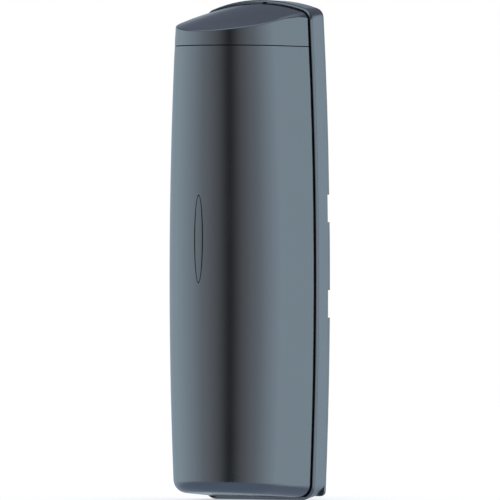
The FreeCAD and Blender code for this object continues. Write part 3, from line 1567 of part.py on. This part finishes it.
def elements():
    """The two infrared elements, one at the focus of each lens."""
    body = new_body("element")
    d = Drawing(body, "element_profile", "XZ_Plane")
    r, length, skirt = S.element_radius, S.element_length, S.element_skirt
    flange = r + S.element_flange
    shoulder = length - r
    base = d.line(0.0, 0.0, flange, 0.0)
    outer = d.line(flange, 0.0, flange, skirt)
    step = d.line(flange, skirt, r, skirt)
    side = d.line(r, skirt, r, shoulder)
    dome = d.arc((0, number(shoulder)), number(r), 0, 90)
    axis = d.line(0.0, length, 0.0, 0.0)
    chain = [base, outer, step, side, dome, axis]
    for one, other in zip(chain, chain[1:] + chain[:1]):
        d.tie("Coincident", one, 2, other, 1)
    d.fix(base, 1, 0.0, 0.0)
    d.fix(outer, 1, flange, 0.0)
    d.fix(step, 1, flange, skirt)
    d.fix(side, 1, r, skirt)
    d.fix(dome, 1, r, shoulder)
    d.fix(axis, 1, 0.0, length)
    d.tie("PointOnObject", dome, 3, -2)
    revolve(body, d)
    half = S.lens_spacing / 2
    return copies("elements", body, [(0.0, S.housing_back, z, FACING_FRONT) for z in (half, -half)])


def tilt_pinion():
    """The pinion that turns the toothed sector, with its axle through the yoke arm."""
    low, high = sector_faces()
    y, z = pinion_place()
    gear = gear_blank("pinion_gear", S.pinion_teeth, S.gear_width)
    turn = 90 - S.mesh_angle.value + 180 / S.pinion_teeth.value
    gear.Placement = Placement(Vector(low.value, y.value, z.value), Rotation(X_AXIS, turn) * ALONG_X)
    axle = doc.addObject("Part::Cylinder", "pinion_axle")
    bind(axle, "Radius", S.pinion_axle)
    bind(axle, "Height", S.yoke_width / 2 + S.gear_gap + S.thumbwheel_width - low)
    place(axle, low, y, z, ALONG_X)
    return combine("Fuse", "tilt_pinion", gear, axle)


def thumbwheel():
    """The fluted wheel on the pinion's axle, outside the yoke arm."""
    body = new_body("thumbwheel")
    d = Drawing(body, "thumbwheel_outline", "YZ_Plane")
    d.circle(0.0, 0.0, S.thumbwheel_radius)
    pad(body, d, S.thumbwheel_width)
    bore = Drawing(body, "thumbwheel_bore", "YZ_Plane", S.thumbwheel_width)
    bore.circle(0.0, 0.0, S.pinion_axle + S.running_clearance)
    pocket(body, bore, S.thumbwheel_width)
    flute = Drawing(body, "thumbwheel_flute", "YZ_Plane", S.thumbwheel_width)
    flute.circle(0.0, S.thumbwheel_radius, S.flute_radius)
    cut = pocket(body, flute, S.thumbwheel_width)
    polar(body, cut, "X_Axis", S.thumbwheel_flutes)
    y, z = pinion_place()
    place(body, S.yoke_width / 2 + S.gear_gap, y, z)
    return body


def rounded_path(points, bend):
    """Straight runs joined by tangent arcs of one radius."""
    edges = []
    last = points[0]
    for before, corner, after in zip(points, points[1:], points[2:]):
        into, out = (corner - before).normalize(), (after - corner).normalize()
        turn = into.getAngle(out)
        setback = bend * math.tan(turn / 2)
        start, end = corner - into * setback, corner + out * setback
        inward = (out - into).normalize()
        centre = corner + inward * (bend / math.cos(turn / 2))
        edges.append(Part.LineSegment(last, start).toShape())
        edges.append(Part.Arc(start, centre - inward * bend, end).toShape())
        last = end
    edges.append(Part.LineSegment(last, points[-1]).toShape())
    return Part.Wire(edges)


def lead(name, side):
    """The lead from the circuit board, along the bracket arm and up its hollow pivot."""
    arm = S.unit_height.value - number(arm_inner()) - S.arm_thickness.value
    level = arm - S.lead_drop.value - S.lead_radius.value
    start = number(socket_z()) + S.socket_height.value / 2
    depth = number(BOARD_FRONT) + S.socket_depth.value / 2
    axis = S.pan_axis_depth.value
    points = [
        Vector(S.socket_x.value, -depth, side * start),
        Vector(S.socket_x.value, -depth, side * level),
        Vector(0, -axis, side * level),
        Vector(0, -axis, side * (arm + S.arm_thickness.value)),
    ]
    section = Part.Circle(points[0], Z_AXIS, S.lead_radius.value).toShape()
    path = rounded_path(points, S.lead_bend.value)
    feature = doc.addObject("Part::Feature", name)
    feature.Shape = path.makePipeShell([Part.Wire(section)], True, False)
    feature.Label = name
    return feature


def instance(name, original, side):
    """One of the two optical units' copies of a piece, carried to its unit's centre."""
    link = doc.addObject("App::Link", name)
    link.LinkedObject = original
    link.LinkTransform = True
    link.Label = name
    place(link, 0.0, -S.pan_axis_depth, side * S.unit_height)
    return link


def build():
    """Make every node of the detector, and return them in order."""
    cover, cap = cover_and_cap()
    nodes = [mounting_plate(), base_chassis(), cover_gasket(), cover, cap, wiring_grommet()]
    nodes += fasteners()
    nodes += [
        circuit_board(), terminal_block(), terminal_screws(), lead_sockets(), control_fascia(),
        dial_body("response_pot", RESPONSE_DIAL_Z), dial("response_dial", RESPONSE_DIAL_Z),
        dial_body("channel_switch", CHANNEL_DIAL_Z), dial("channel_dial", CHANNEL_DIAL_Z),
        indicator_lamps(), monitor_jack(), tamper_switch(), tamper_plunger(),
    ]
    unit = {
        "bracket": bracket("bracket"), "yoke": yoke("yoke"), "lens_housing": geared_housing(),
        "lens_pair": lens_pair(), "lens_bezel": lens_bezel(), "sight": sight(),
        "element_board": element_board(), "elements": elements(), "tilt_pinion": tilt_pinion(),
        "tilt_thumbwheel": thumbwheel(),
    }
    for side, level in (("upper", 1), ("lower", -1)):
        nodes += [instance(f"{side}_{piece}", original, level) for piece, original in unit.items()]
        nodes.append(lead(f"{side}_lead", level))
    return nodes


def check_states():
    """Stop if any object in the document failed to build."""
    bad = [o.Name for o in doc.Objects if {"Invalid", "Error"} & set(o.State)]
    if bad:
        raise RuntimeError("failed objects: " + ", ".join(bad))


nodes = build()
doc.recompute()
check_states()
os.makedirs("parts", exist_ok=True)
shapes = {node.Label: Part.getShape(node) for node in nodes}
for label, shape in shapes.items():
    if shape.isNull() or not shape.isValid():
        raise RuntimeError("bad shape: " + label)
for label, shape in shapes.items():
    shape.exportStep(os.path.join("parts", label + ".step"))
    print(f"{label}: {len(shape.Solids)} solid, {shape.Volume:.1f} mm3")
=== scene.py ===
"""Studio scene of the infrared beam detector, in the frame of the CAD part.

Metres, +Z up, front towards -Y; sizes of the housing are in millimetres. Most nodes show as they
are, with a material. Four outside nodes show as changed copies: the cover and the top cap with the
exact normals of their form, a drafted D that is bowed in height, and a lower seam; the chassis with
a soft shoulder on its lip; and the wall plate with its notches at their final heights.
"""

import json
import math

import bpy
import numpy as np
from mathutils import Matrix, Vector


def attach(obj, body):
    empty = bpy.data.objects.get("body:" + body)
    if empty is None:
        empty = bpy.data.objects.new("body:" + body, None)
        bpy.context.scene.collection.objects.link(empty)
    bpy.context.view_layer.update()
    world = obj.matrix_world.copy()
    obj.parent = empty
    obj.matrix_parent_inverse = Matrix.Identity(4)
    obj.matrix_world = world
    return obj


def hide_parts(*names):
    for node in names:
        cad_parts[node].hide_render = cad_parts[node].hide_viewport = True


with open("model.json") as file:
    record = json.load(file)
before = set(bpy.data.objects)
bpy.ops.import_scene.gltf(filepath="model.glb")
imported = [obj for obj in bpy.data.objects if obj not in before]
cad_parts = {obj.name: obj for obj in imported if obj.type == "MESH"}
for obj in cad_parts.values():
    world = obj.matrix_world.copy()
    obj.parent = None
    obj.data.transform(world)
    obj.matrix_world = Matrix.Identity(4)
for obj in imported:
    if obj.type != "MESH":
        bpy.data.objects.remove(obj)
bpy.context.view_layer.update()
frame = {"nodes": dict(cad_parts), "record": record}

MM = 0.001

# Camera: the view's angle from the front, its shift to the side, its distance, and the height that
# the frame takes in at the object
VIEW_AZIMUTH = math.radians(31.95)
VIEW_SIDE = -16.75 * MM
VIEW_DISTANCE = 6.0
VIEW_HEIGHT = 365.7 * MM
SENSOR_WIDTH = 36.0
CLIP_END = 50.0

# Form of the housing, in millimetres
BOTTOM = -182.5
LIP_HALF_WIDTH = 52.0
LIP_FRONT = 22.0
COVER_INSET = 2.6
COVER_BACK = 22.0
COVER_FRONT = 102.0
COVER_EDGE = 149.2
CAP_EDGE = 149.55
BARREL_RADIUS = 3380.0
BARREL_HEIGHT = -21.0
NOSE_PROFILE_RADIUS = 4500.0
DRAFT = math.radians(6.8)

# How near a point lies to a place, or a normal to a direction (as a cosine), to count as there
SAME_PLACE = 0.02
WALL_MARGIN = 0.08
WALL_ALIGNED = 0.985
FRONT_ALIGNED = 0.99
HALF_ALIGNED = 0.5

# Seam between cover and top cap: how far it moves down, and its chamfers; the cover's wall takes up
# the move above SEAM_ROOM
SEAM_SHIFT = 1.7
SEAM_CHAMFER = 0.17
SEAM_ROOM = 140.0

# Roof: how far it falls at the nose, and the depth over which it gets there. Its corners lie above
# ROOF_LOW, and the wall's points follow it from RIDGE_START up
RIDGE_DROP = 2.5
RIDGE_REACH = 65.0
ROOF_LOW = 158.0
RIDGE_START = 152.0
RIDGE_BLEND = 9.0

# Oval line in the nose: the box that holds it, and the depths at which its faces lie
OVAL_CENTRE = (0.0, -101.5, 8.0)
OVAL_REACH = (4.5, 3.0, 33.0)
GROOVE_START = 0.1
GROOVE_LIMIT = 1.5

# Shoulder of the chassis lip: its depth, the depth of side behind it that makes room, and its lean.
# A corner is on the edge within EDGE_MARGIN, and follows it within EDGE_REACH
SHOULDER = 2.2
SHOULDER_ROOM = 9.0
SHOULDER_TILT = math.radians(50)
EDGE_MARGIN = 0.05
EDGE_REACH = 2.0

# The catch at the top of the chassis, which has no shoulder
CATCH_HALF_WIDTH = 15.0
CATCH_LOW = 170.0
CATCH_HIGH = 181.5

# Notches in the wall plate's side edges: the upper and the lower one's move
NOTCH_REACH = 43.8
NOTCH_HEIGHT = 36.0
NOTCH_HALF_ROOM = 10.5
NOTCH_SHIFTS = (-5.7, -3.2)

# Floor, just under the chassis, whose shoulder lifts its lowest edge
FLOOR_RISE = 0.3
FLOOR_REACH = 3.0
FLOOR_GLOW = 0.5

# Span of a noise texture that is spread between two values
NOISE_LOW = 0.3
NOISE_HIGH = 0.7

# A moulding's own spread of gloss and of tone, as factors
ROUGH_SPREAD = (0.85, 1.2)
TONE_SPREAD = (0.92, 1.08)

# Finishes of mouldings: roughness, scale of the grain, and its depth in metres
POLISHED = (0.12, 500, 0.00002)
SATIN = (0.40, 900, 0.00005)
SOFT_MATT = (0.45, 1400, 0.0001)
MATT = (0.50, 1400, 0.0001)


# Node trees


def feed(tree, node, name, value):
    """Set a socket to a constant, or link it from another node's output."""
    if isinstance(value, bpy.types.NodeSocket):
        tree.links.new(value, node.inputs[name])
    else:
        node.inputs[name].default_value = value


def add_node(tree, kind, feeds=None, **settings):
    """A shader node with its own settings, and what feeds its sockets."""
    node = tree.nodes.new("ShaderNode" + kind)
    for key, value in settings.items():
        setattr(node, key, value)
    for name, value in (feeds or {}).items():
        feed(tree, node, name, value)
    return node


def add_ramp(tree, source, stops):
    """A colour ramp of (position, colour) stops, run by a source."""
    ramp = add_node(tree, "ValToRGB", {"Fac": source})
    # A new ramp has two stops already
    elements = ramp.color_ramp.elements
    for index, (position, colour) in enumerate(stops):
        point = elements[index] if index < 2 else elements.new(1.0)
        point.position = position
        point.color = colour
    return ramp


# Materials


def new_material(name, base, rough, **sockets):
    """A principled material with constant values on its own sockets, and its node tree for more."""
    material = bpy.data.materials.new(name)
    material.use_nodes = True
    tree = material.node_tree
    shader = tree.nodes["Principled BSDF"]
    feed(tree, shader, "Base Color", (*base, 1))
    feed(tree, shader, "Roughness", rough)
    for key, value in sockets.items():
        feed(tree, shader, key.replace("_", " ").title().replace("Ior", "IOR"), value)
    return material, tree, shader


def add_noise(tree, scale, detail=4.0, stretch=(1, 1, 1)):
    """Noise over the object's own coordinates, in metres."""
    place = add_node(tree, "TexCoord").outputs["Object"]
    vector = add_node(tree, "Mapping", {"Vector": place, "Scale": stretch}).outputs["Vector"]
    noise = add_node(tree, "TexNoise", {"Vector": vector, "Scale": scale, "Detail": detail})
    return noise.outputs["Fac"]


def add_bump(tree, shader, height, distance, strength=0.3):
    """Raise the surface by a texture, over a distance in metres."""
    feeds = {"Height": height, "Distance": distance, "Strength": strength}
    feed(tree, shader, "Normal", add_node(tree, "Bump", feeds).outputs["Normal"])


def vary(tree, shader, name, source, low, high):
    """Drive one shader socket by a noise texture, spread between two values."""
    feeds = {"Value": source, "From Min": NOISE_LOW, "From Max": NOISE_HIGH}
    feeds.update({"To Min": low, "To Max": high})
    feed(tree, shader, name, add_node(tree, "MapRange", feeds).outputs["Result"])


def tone(tree, shader, source, dark, light, low=NOISE_LOW, high=NOISE_HIGH):
    """Let the colour run between two tones where a texture rises from low to high."""
    ramp = add_ramp(tree, source, [(low, (*dark, 1)), (high, (*light, 1))])
    feed(tree, shader, "Base Color", ramp.outputs["Color"])


def shade(colour, factor):
    """A colour made darker or lighter by a factor."""
    return tuple(min(1.0, channel * factor) for channel in colour)


def plastic(name, base, rough, grain, depth, patch=45, **sockets):
    """A moulded plastic: grain, patches of duller gloss and a faint drift of its colour."""
    material, tree, shader = new_material(name, base, rough, **sockets)
    patches = add_noise(tree, scale=patch, detail=3.0)
    vary(tree, shader, "Roughness", patches, *(rough * factor for factor in ROUGH_SPREAD))
    tone(tree, shader, patches, *(shade(base, factor) for factor in TONE_SPREAD))
    add_bump(tree, shader, add_noise(tree, scale=grain), distance=depth)
    return material


def gloss(name, rough, grain, depth):
    """Glossy black plastic, whose reflections are strong and a little blue."""
    return plastic(
        name, (0.0165, 0.0175, 0.0195), rough, grain, depth, patch=30,
        ior=1.9, specular_ior_level=1.0, specular_tint=(0.68, 0.84, 1.0, 1),
    )


def steel(name):
    """Zinc-plated steel: fine turning marks and a slightly clouded plating."""
    material, tree, shader = new_material(name, (0.60, 0.61, 0.60), 0.30, metallic=1.0)
    clouds = add_noise(tree, scale=300, detail=3.0)
    vary(tree, shader, "Roughness", clouds, low=0.24, high=0.42)
    tone(tree, shader, clouds, dark=(0.52, 0.53, 0.52), light=(0.66, 0.66, 0.63))
    add_bump(tree, shader, add_noise(tree, scale=2500), distance=0.00002)
    return material


def board(name):
    """Solder mask over copper tracks, which stand up as slightly paler lines."""
    material, tree, shader = new_material(name, (0.015, 0.10, 0.045), 0.32)
    place = add_node(tree, "TexCoord").outputs["Object"]
    cells = add_node(
        tree, "TexVoronoi", {"Vector": place, "Scale": 260, "Randomness": 0.35},
        distance="CHEBYCHEV", feature="F1",
    )
    feeds = {0: cells.outputs["Distance"], 1: 0.16}
    tracks = add_node(tree, "Math", feeds, operation="PINGPONG").outputs["Value"]
    mask, track = (0.010, 0.075, 0.035), (0.03, 0.16, 0.07)
    tone(tree, shader, tracks, dark=mask, light=track, low=0.08, high=0.10)
    add_bump(tree, shader, tracks, distance=0.0001, strength=0.2)
    return material


def lens(name):
    """Clear acrylic with the faint rings of a stepped lens."""
    material, tree, shader = new_material(
        name, (0.93, 0.95, 0.96), 0.04, transmission_weight=0.85, ior=1.49
    )
    ripple = add_noise(tree, scale=120, detail=2.0, stretch=(1, 0, 1))
    vary(tree, shader, "Roughness", ripple, low=0.02, high=0.07)
    add_bump(tree, shader, ripple, distance=0.00003)
    return material


MATERIALS = {
    "cover_plastic": gloss("cover_gloss", 0.14, 400, 0.000006),
    "chassis_plastic": gloss("chassis_gloss", 0.20, 500, 0.000012),
    "plate_plastic": gloss("plate_gloss", 0.26, 600, 0.00002),
    "gasket_rubber": plastic("gasket_rubber", (0.012, 0.012, 0.013), 0.65, 1500, 0.0001),
    "screw_steel": steel("zinc_steel"),
    "board_laminate": board("board_green"),
    "terminal_plastic": plastic("terminal_green", (0.03, 0.16, 0.08), *SATIN),
    "socket_plastic": plastic("socket_ivory", (0.70, 0.68, 0.60), *SATIN),
    "fascia_plastic": plastic("fascia_grey", (0.16, 0.17, 0.18), *MATT),
    "pot_plastic": plastic("pot_blue", (0.03, 0.08, 0.25), *SATIN),
    "dial_plastic": plastic("dial_ivory", (0.72, 0.70, 0.64), *SATIN),
    "lamp_plastic": plastic("lamp_red", (0.45, 0.02, 0.015), *POLISHED),
    "jack_plastic": plastic("jack_black", (0.015, 0.015, 0.016), *SATIN),
    "bracket_plastic": plastic("bracket_grey", (0.045, 0.046, 0.05), *MATT),
    "yoke_plastic": plastic("yoke_black", (0.018, 0.018, 0.02), *MATT),
    "lens_glass": lens("lens_clear"),
    "bezel_plastic": plastic("bezel_grey", (0.06, 0.06, 0.065), *SOFT_MATT),
    "sight_plastic": plastic("sight_yellow", (0.62, 0.36, 0.03), *SOFT_MATT),
    "element_plastic": plastic("element_dark", (0.03, 0.01, 0.04), *POLISHED),
    "gear_plastic": plastic("gear_acetal", (0.68, 0.67, 0.62), 0.38, 900, 0.00005),
    "lead_rubber": plastic("lead_grey", (0.06, 0.06, 0.065), 0.55, 900, 0.00005),
}
# Painted shade: a near-black, dull material laid on the oval groove's faces in place of their shadow
GROOVE_SHADOW = plastic("groove_shadow", (0.004, 0.004, 0.005), 0.6, 900, 0.00002)

for part in frame["record"]["subparts"]:
    mesh = frame["nodes"][part["node"]].data
    mesh.materials.clear()
    mesh.materials.append(MATERIALS[part["material_slot"]])


# Changed copies of nodes. Each CAD face has points of its own, so the points that lie in one place
# are found by their place and moved together


def copy_mesh(node):
    """A copy of a node's mesh, its points in millimetres, and each face corner's vertex and normal."""
    mesh = frame["nodes"][node].data.copy()
    points = np.empty(3 * len(mesh.vertices))
    mesh.vertices.foreach_get("co", points)
    vertex = np.empty(len(mesh.loops), np.int32)
    mesh.loops.foreach_get("vertex_index", vertex)
    normals = np.empty(3 * len(mesh.loops))
    mesh.corner_normals.foreach_get("vector", normals)
    return mesh, points.reshape(-1, 3) / MM, vertex, normals.reshape(-1, 3)


def show_copy(node, mesh, points, normals):
    """Write a copy's points and corner normals, and show it in the place of its node."""
    mesh.vertices.foreach_set("co", (points * MM).ravel())
    mesh.update()
    normals /= np.linalg.norm(normals, axis=1, keepdims=True)
    mesh.normals_split_custom_set(normals.tolist())
    piece = bpy.data.objects.new(node + "_shell", mesh)
    bpy.context.scene.collection.objects.link(piece)
    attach(piece, "chassis")
    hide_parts(node)


def smooth(share):
    """Rise from 0 to 1 with level ends."""
    share = np.clip(share, 0, 1)
    return share * share * (3 - 2 * share)


def wall_form(points):
    """How far each point lies from the cover's outer wall, and the wall's normal there."""
    x, y, z = points.T
    rise = z - BARREL_HEIGHT
    lean_cos, lean_sin = math.cos(DRAFT), math.sin(DRAFT)
    half = LIP_HALF_WIDTH - COVER_INSET - rise * rise / (2 * BARREL_RADIUS)
    front = COVER_FRONT - rise * rise / (2 * NOSE_PROFILE_RADIUS)
    half_rate, front_rate = -rise / BARREL_RADIUS, -rise / NOSE_PROFILE_RADIUS
    radius = (half * lean_cos - (front - COVER_BACK) * lean_sin) / (1 - lean_sin)
    radius_rate = (half_rate * lean_cos - front_rate * lean_sin) / (1 - lean_sin)
    centre = radius - front
    reach = np.hypot(x, y - centre)
    nose = y < centre - radius * lean_sin
    flat_gap = (np.abs(x) + (-y - COVER_BACK) * (lean_sin / lean_cos) - half) * lean_cos
    gap = np.where(nose, reach - radius, flat_gap)
    nx = np.where(nose, x / reach, np.sign(x) * lean_cos)
    ny = np.where(nose, (y - centre) / reach, -lean_sin)
    nz = np.where(nose, -ny * (radius_rate - front_rate) - radius_rate, -half_rate * lean_cos)
    normal = np.stack([nx, ny, nz], axis=1)
    return gap, normal / np.linalg.norm(normal, axis=1, keepdims=True)


def open_seam(points):
    """Lower the two edges at the seam, and break them, so that it reads as a fine dark line."""
    on_wall = np.abs(wall_form(points)[0]) < WALL_MARGIN
    z = points[:, 2].copy()
    cap = on_wall & (np.abs(z - CAP_EDGE) < SAME_PLACE)
    cover = on_wall & (z > SEAM_ROOM) & (z < COVER_EDGE + SAME_PLACE)
    share = (z[cover] - SEAM_ROOM) / (COVER_EDGE - SEAM_ROOM)
    points[cap, 2] += SEAM_CHAMFER - SEAM_SHIFT
    points[cover, 2] -= (SEAM_CHAMFER + SEAM_SHIFT) * share


def lower_ridge(points, corner_points, normals):
    """Let the roof fall a little further towards the nose, where its ridge meets the wall."""
    # The slope of smooth is 6 * share * (1 - share)
    share = np.clip((-corner_points[:, 1] - COVER_BACK) / RIDGE_REACH, 0, 1)
    slope = RIDGE_DROP * 6 * share * (1 - share) / RIDGE_REACH
    roof = (corner_points[:, 2] > ROOF_LOW) & (np.abs(normals[:, 2]) > HALF_ALIGNED)
    normals[roof, 1] -= (normals[:, 2] * slope)[roof]
    fall = RIDGE_DROP * smooth((-points[:, 1] - COVER_BACK) / RIDGE_REACH)
    points[:, 2] -= fall * smooth((points[:, 2] - RIDGE_START) / RIDGE_BLEND)


def paint_groove_shade(mesh, corner_points, gap):
    """Paint the oval line in the nose a dull near-black: painted shade, standing in for the shadow in
    its groove.
    """
    first = np.empty(len(mesh.polygons), np.int32)
    mesh.polygons.foreach_get("loop_start", first)
    deepest = np.minimum.reduceat(gap, first)
    outside = (np.abs(corner_points - OVAL_CENTRE) > OVAL_REACH).any(axis=1)
    in_box = ~np.logical_or.reduceat(outside, first)
    groove = in_box & (deepest < -GROOVE_START) & (deepest > -GROOVE_LIMIT)
    mesh.materials.append(GROOVE_SHADOW)
    mesh.polygons.foreach_set("material_index", groove.astype(np.int32))


def cover_shell(node):
    """A copy of a cover node whose outer walls shade as the smooth form that they are."""
    mesh, points, vertex, normals = copy_mesh(node)
    corner_points = points[vertex]
    gap, exact = wall_form(corner_points)
    aligned = (normals * exact).sum(axis=1) > WALL_ALIGNED
    on_wall = (np.abs(gap) < WALL_MARGIN) & aligned
    normals[on_wall] = exact[on_wall]
    open_seam(points)
    if node == "cover":
        # Painted shade on the oval groove
        paint_groove_shade(mesh, corner_points, gap)
    else:
        lower_ridge(points, corner_points, normals)
    show_copy(node, mesh, points, normals)


def shoulder_moves(points, behind, edge_points, edge_normals):
    """Moves of points that draw the lip's outer edge back along its side.

    The side's points behind the edge make room, and the front face's points at the edge go with it.
    """
    along = np.array((0, 1, 0)) - edge_normals[:, 1:2] * edge_normals
    along *= SHOULDER / np.linalg.norm(along, axis=1, keepdims=True)
    front = np.flatnonzero(np.abs(points[:, 1] + LIP_FRONT) < SAME_PLACE)
    moves = np.zeros_like(points)
    for which, limit in ((behind, EDGE_REACH), (front, SAME_PLACE)):
        apart = np.linalg.norm((points[which][:, None] - edge_points)[:, :, ::2], axis=2)
        near = apart.min(axis=1) < limit
        share = 1 - (points[which, 1] + LIP_FRONT) / SHOULDER_ROOM
        moves[which[near]] = (along[apart.argmin(axis=1)] * share[:, None])[near]
    return moves


def turn_front(corner_points, normals, face, edge_points, edge_normals):
    """Turn the corners of the lip's front face to its side at the outer edge, and less at the inner."""
    apart = np.linalg.norm(corner_points[face][:, None] - edge_points, axis=2)
    nearest, gap = apart.argmin(axis=1), apart.min(axis=1)
    outer = gap < EDGE_MARGIN
    inner = (gap >= EDGE_MARGIN) & (gap < EDGE_REACH)
    normals[face[outer]] = edge_normals[nearest[outer]]
    lean = edge_normals[nearest[inner]] * math.sin(SHOULDER_TILT)
    normals[face[inner]] = lean - np.array((0, math.cos(SHOULDER_TILT), 0))


def chassis_shell(node):
    """A copy of the chassis whose lip has a soft outer shoulder."""
    mesh, points, vertex, normals = copy_mesh(node)
    corner_points = points[vertex]
    x, y, z = corner_points.T
    depth = y + LIP_FRONT
    at_front = np.abs(depth) < SAME_PLACE
    outward = (normals * corner_points * (1, 0, 1)).sum(axis=1) > 0
    catch = (np.abs(x) < CATCH_HALF_WIDTH) & (z > CATCH_LOW) & (z < CATCH_HIGH)
    side = outward & (np.abs(normals[:, 1]) < HALF_ALIGNED) & ~catch
    edge, where = np.unique(vertex[side & at_front], return_index=True)
    edge_points, edge_normals = points[edge], normals[side & at_front][where]
    behind = np.unique(vertex[side & (depth > -SAME_PLACE) & (depth < SHOULDER_ROOM)])
    points += shoulder_moves(points, behind, edge_points, edge_normals)
    face = np.flatnonzero(at_front & (normals[:, 1] < -FRONT_ALIGNED))
    turn_front(corner_points, normals, face, edge_points, edge_normals)
    show_copy(node, mesh, points, normals)


def plate_shell(node):
    """A copy of the wall plate with the notches in its edges at their final heights."""
    mesh, points, vertex, normals = copy_mesh(node)
    x, y, z = points.T
    at_notch = (np.abs(x) > NOTCH_REACH) & (np.abs(np.abs(z) - NOTCH_HEIGHT) < NOTCH_HALF_ROOM)
    points[:, 2] += np.where(at_notch, np.where(z > 0, *NOTCH_SHIFTS), 0)
    show_copy(node, mesh, points, normals)


cover_shell("cover")
cover_shell("top_cap")
plate_shell("mounting_plate")
chassis_shell("base_chassis")


# Surroundings: a pale studio whose light grows from dark at the camera to bright at both sides


# Light colour by degrees away from the darkest direction
DARKEST = VIEW_AZIMUTH - math.radians(2.6)
AROUND_COLOURS = [
    (0, (0.06, 0.055, 0.05)), (5, (0.085, 0.076, 0.07)), (14, (0.21, 0.19, 0.17)),
    (23, (0.33, 0.29, 0.27)), (33, (0.43, 0.39, 0.37)), (43, (0.51, 0.48, 0.46)),
    (53, (0.57, 0.545, 0.535)), (64, (0.69, 0.67, 0.66)), (75, (0.79, 0.80, 0.78)),
    (88, (0.86, 0.89, 0.90)), (104, (0.93, 0.99, 1.0)), (121, (0.90, 0.98, 1.0)),
    (148, (0.60, 0.70, 0.77)), (170, (0.36, 0.43, 0.48)),
]

# Light colour by height, from -1 below to 1 above, laid over the other with a weight
GROUND, BAND, ZENITH = (0.36, 0.39, 0.47), (0.18, 0.195, 0.24), (0.80, 0.84, 0.88)
HEIGHT_COLOURS = [
    (-0.45, GROUND, 1), (-0.15, GROUND, 0), (0.24, BAND, 0),
    (0.34, BAND, 1), (0.62, BAND, 1), (0.78, ZENITH, 1),
]
LIGHT_LEVEL = 1.2
WHITE = (1, 1, 1, 1)


def colour_around(tree, direction):
    """Light colour by the level angle between a direction and the darkest one."""
    darkest = (math.sin(DARKEST), -math.cos(DARKEST), 0)
    level = add_node(tree, "VectorMath", {0: direction, 1: (1, 1, 0)}, operation="MULTIPLY")
    unit = add_node(tree, "VectorMath", {0: level.outputs["Vector"]}, operation="NORMALIZE")
    feeds = {0: unit.outputs["Vector"], 1: darkest}
    cosine = add_node(tree, "VectorMath", feeds, operation="DOT_PRODUCT")
    angle = add_node(tree, "Math", {0: cosine.outputs["Value"]}, operation="ARCCOSINE")
    feeds = {0: angle.outputs["Value"], 1: math.pi}
    half_turns = add_node(tree, "Math", feeds, operation="DIVIDE").outputs["Value"]
    stops = [(degrees / 180, (*colour, 1)) for degrees, colour in AROUND_COLOURS]
    return add_ramp(tree, half_turns, stops)


def colour_of_height(tree, direction):
    """Light colour by a direction's height, with its weight as alpha."""
    height = add_node(tree, "SeparateXYZ", {"Vector": direction}).outputs["Z"]
    share = add_node(tree, "Math", {0: height, 1: 0.5, 2: 0.5}, operation="MULTIPLY_ADD")
    stops = [((z + 1) / 2, (*colour, weight)) for z, colour, weight in HEIGHT_COLOURS]
    return add_ramp(tree, share.outputs["Value"], stops)


def build_world():
    """A world that lights the object by its two ramps and is white for the camera."""
    world = bpy.data.worlds.new("studio")
    bpy.context.scene.world = world
    world.use_nodes = True
    tree = world.node_tree
    direction = add_node(tree, "TexCoord").outputs["Generated"]
    around = colour_around(tree, direction)
    above = colour_of_height(tree, direction)
    feeds = {
        "Factor": above.outputs["Alpha"],
        "A": around.outputs["Color"],
        "B": above.outputs["Color"],
    }
    both = add_node(tree, "Mix", feeds, data_type="RGBA").outputs["Result"]
    feeds = {"Vector": both, "Scale": LIGHT_LEVEL}
    light = add_node(tree, "VectorMath", feeds, operation="SCALE").outputs["Vector"]
    seen = add_node(tree, "LightPath").outputs["Is Camera Ray"]
    shown = add_node(tree, "Mix", {"Factor": seen, "A": light, "B": WHITE}, data_type="RGBA")
    feed(tree, tree.nodes["Background"], "Color", shown.outputs["Result"])


def build_floor():
    """A pale floor; for the camera it glows a little, so that it reads as white away from shade."""
    mesh = bpy.data.meshes.new("floor")
    low = (BOTTOM + FLOOR_RISE) * MM
    corners = [(-1, -1), (1, -1), (1, 1), (-1, 1)]
    places = [(x * FLOOR_REACH, y * FLOOR_REACH, low) for x, y in corners]
    mesh.from_pydata(places, [], [(0, 1, 2, 3)])
    floor = bpy.data.objects.new("floor", mesh)
    bpy.context.scene.collection.objects.link(floor)
    material, tree, shader = new_material("pale_floor", (0.84, 0.82, 0.80), 0.9, specular_ior_level=0.1)
    seen = add_node(tree, "LightPath").outputs["Is Camera Ray"]
    glow = add_node(tree, "Math", {0: seen, 1: FLOOR_GLOW}, operation="MULTIPLY")
    feed(tree, shader, "Emission Color", WHITE)
    feed(tree, shader, "Emission Strength", glow.outputs["Value"])
    mesh.materials.append(material)
    floor.visible_glossy = False


def build_camera():
    """A distant camera at the photograph's angle, level with the middle of the object."""
    data = bpy.data.cameras.new("camera")
    camera = bpy.data.objects.new("camera", data)
    bpy.context.scene.collection.objects.link(camera)
    across = Vector((math.cos(VIEW_AZIMUTH), math.sin(VIEW_AZIMUTH), 0))
    out = Vector((math.sin(VIEW_AZIMUTH), -math.cos(VIEW_AZIMUTH), 0))
    camera.location = across * VIEW_SIDE + out * VIEW_DISTANCE
    camera.rotation_euler = (-out).to_track_quat("-Z", "Y").to_euler()
    data.sensor_width = SENSOR_WIDTH
    data.lens = SENSOR_WIDTH * VIEW_DISTANCE / VIEW_HEIGHT
    data.clip_end = CLIP_END
    bpy.context.scene.camera = camera


build_world()
build_floor()
build_camera()
bpy.context.scene.view_settings.view_transform = "Standard"
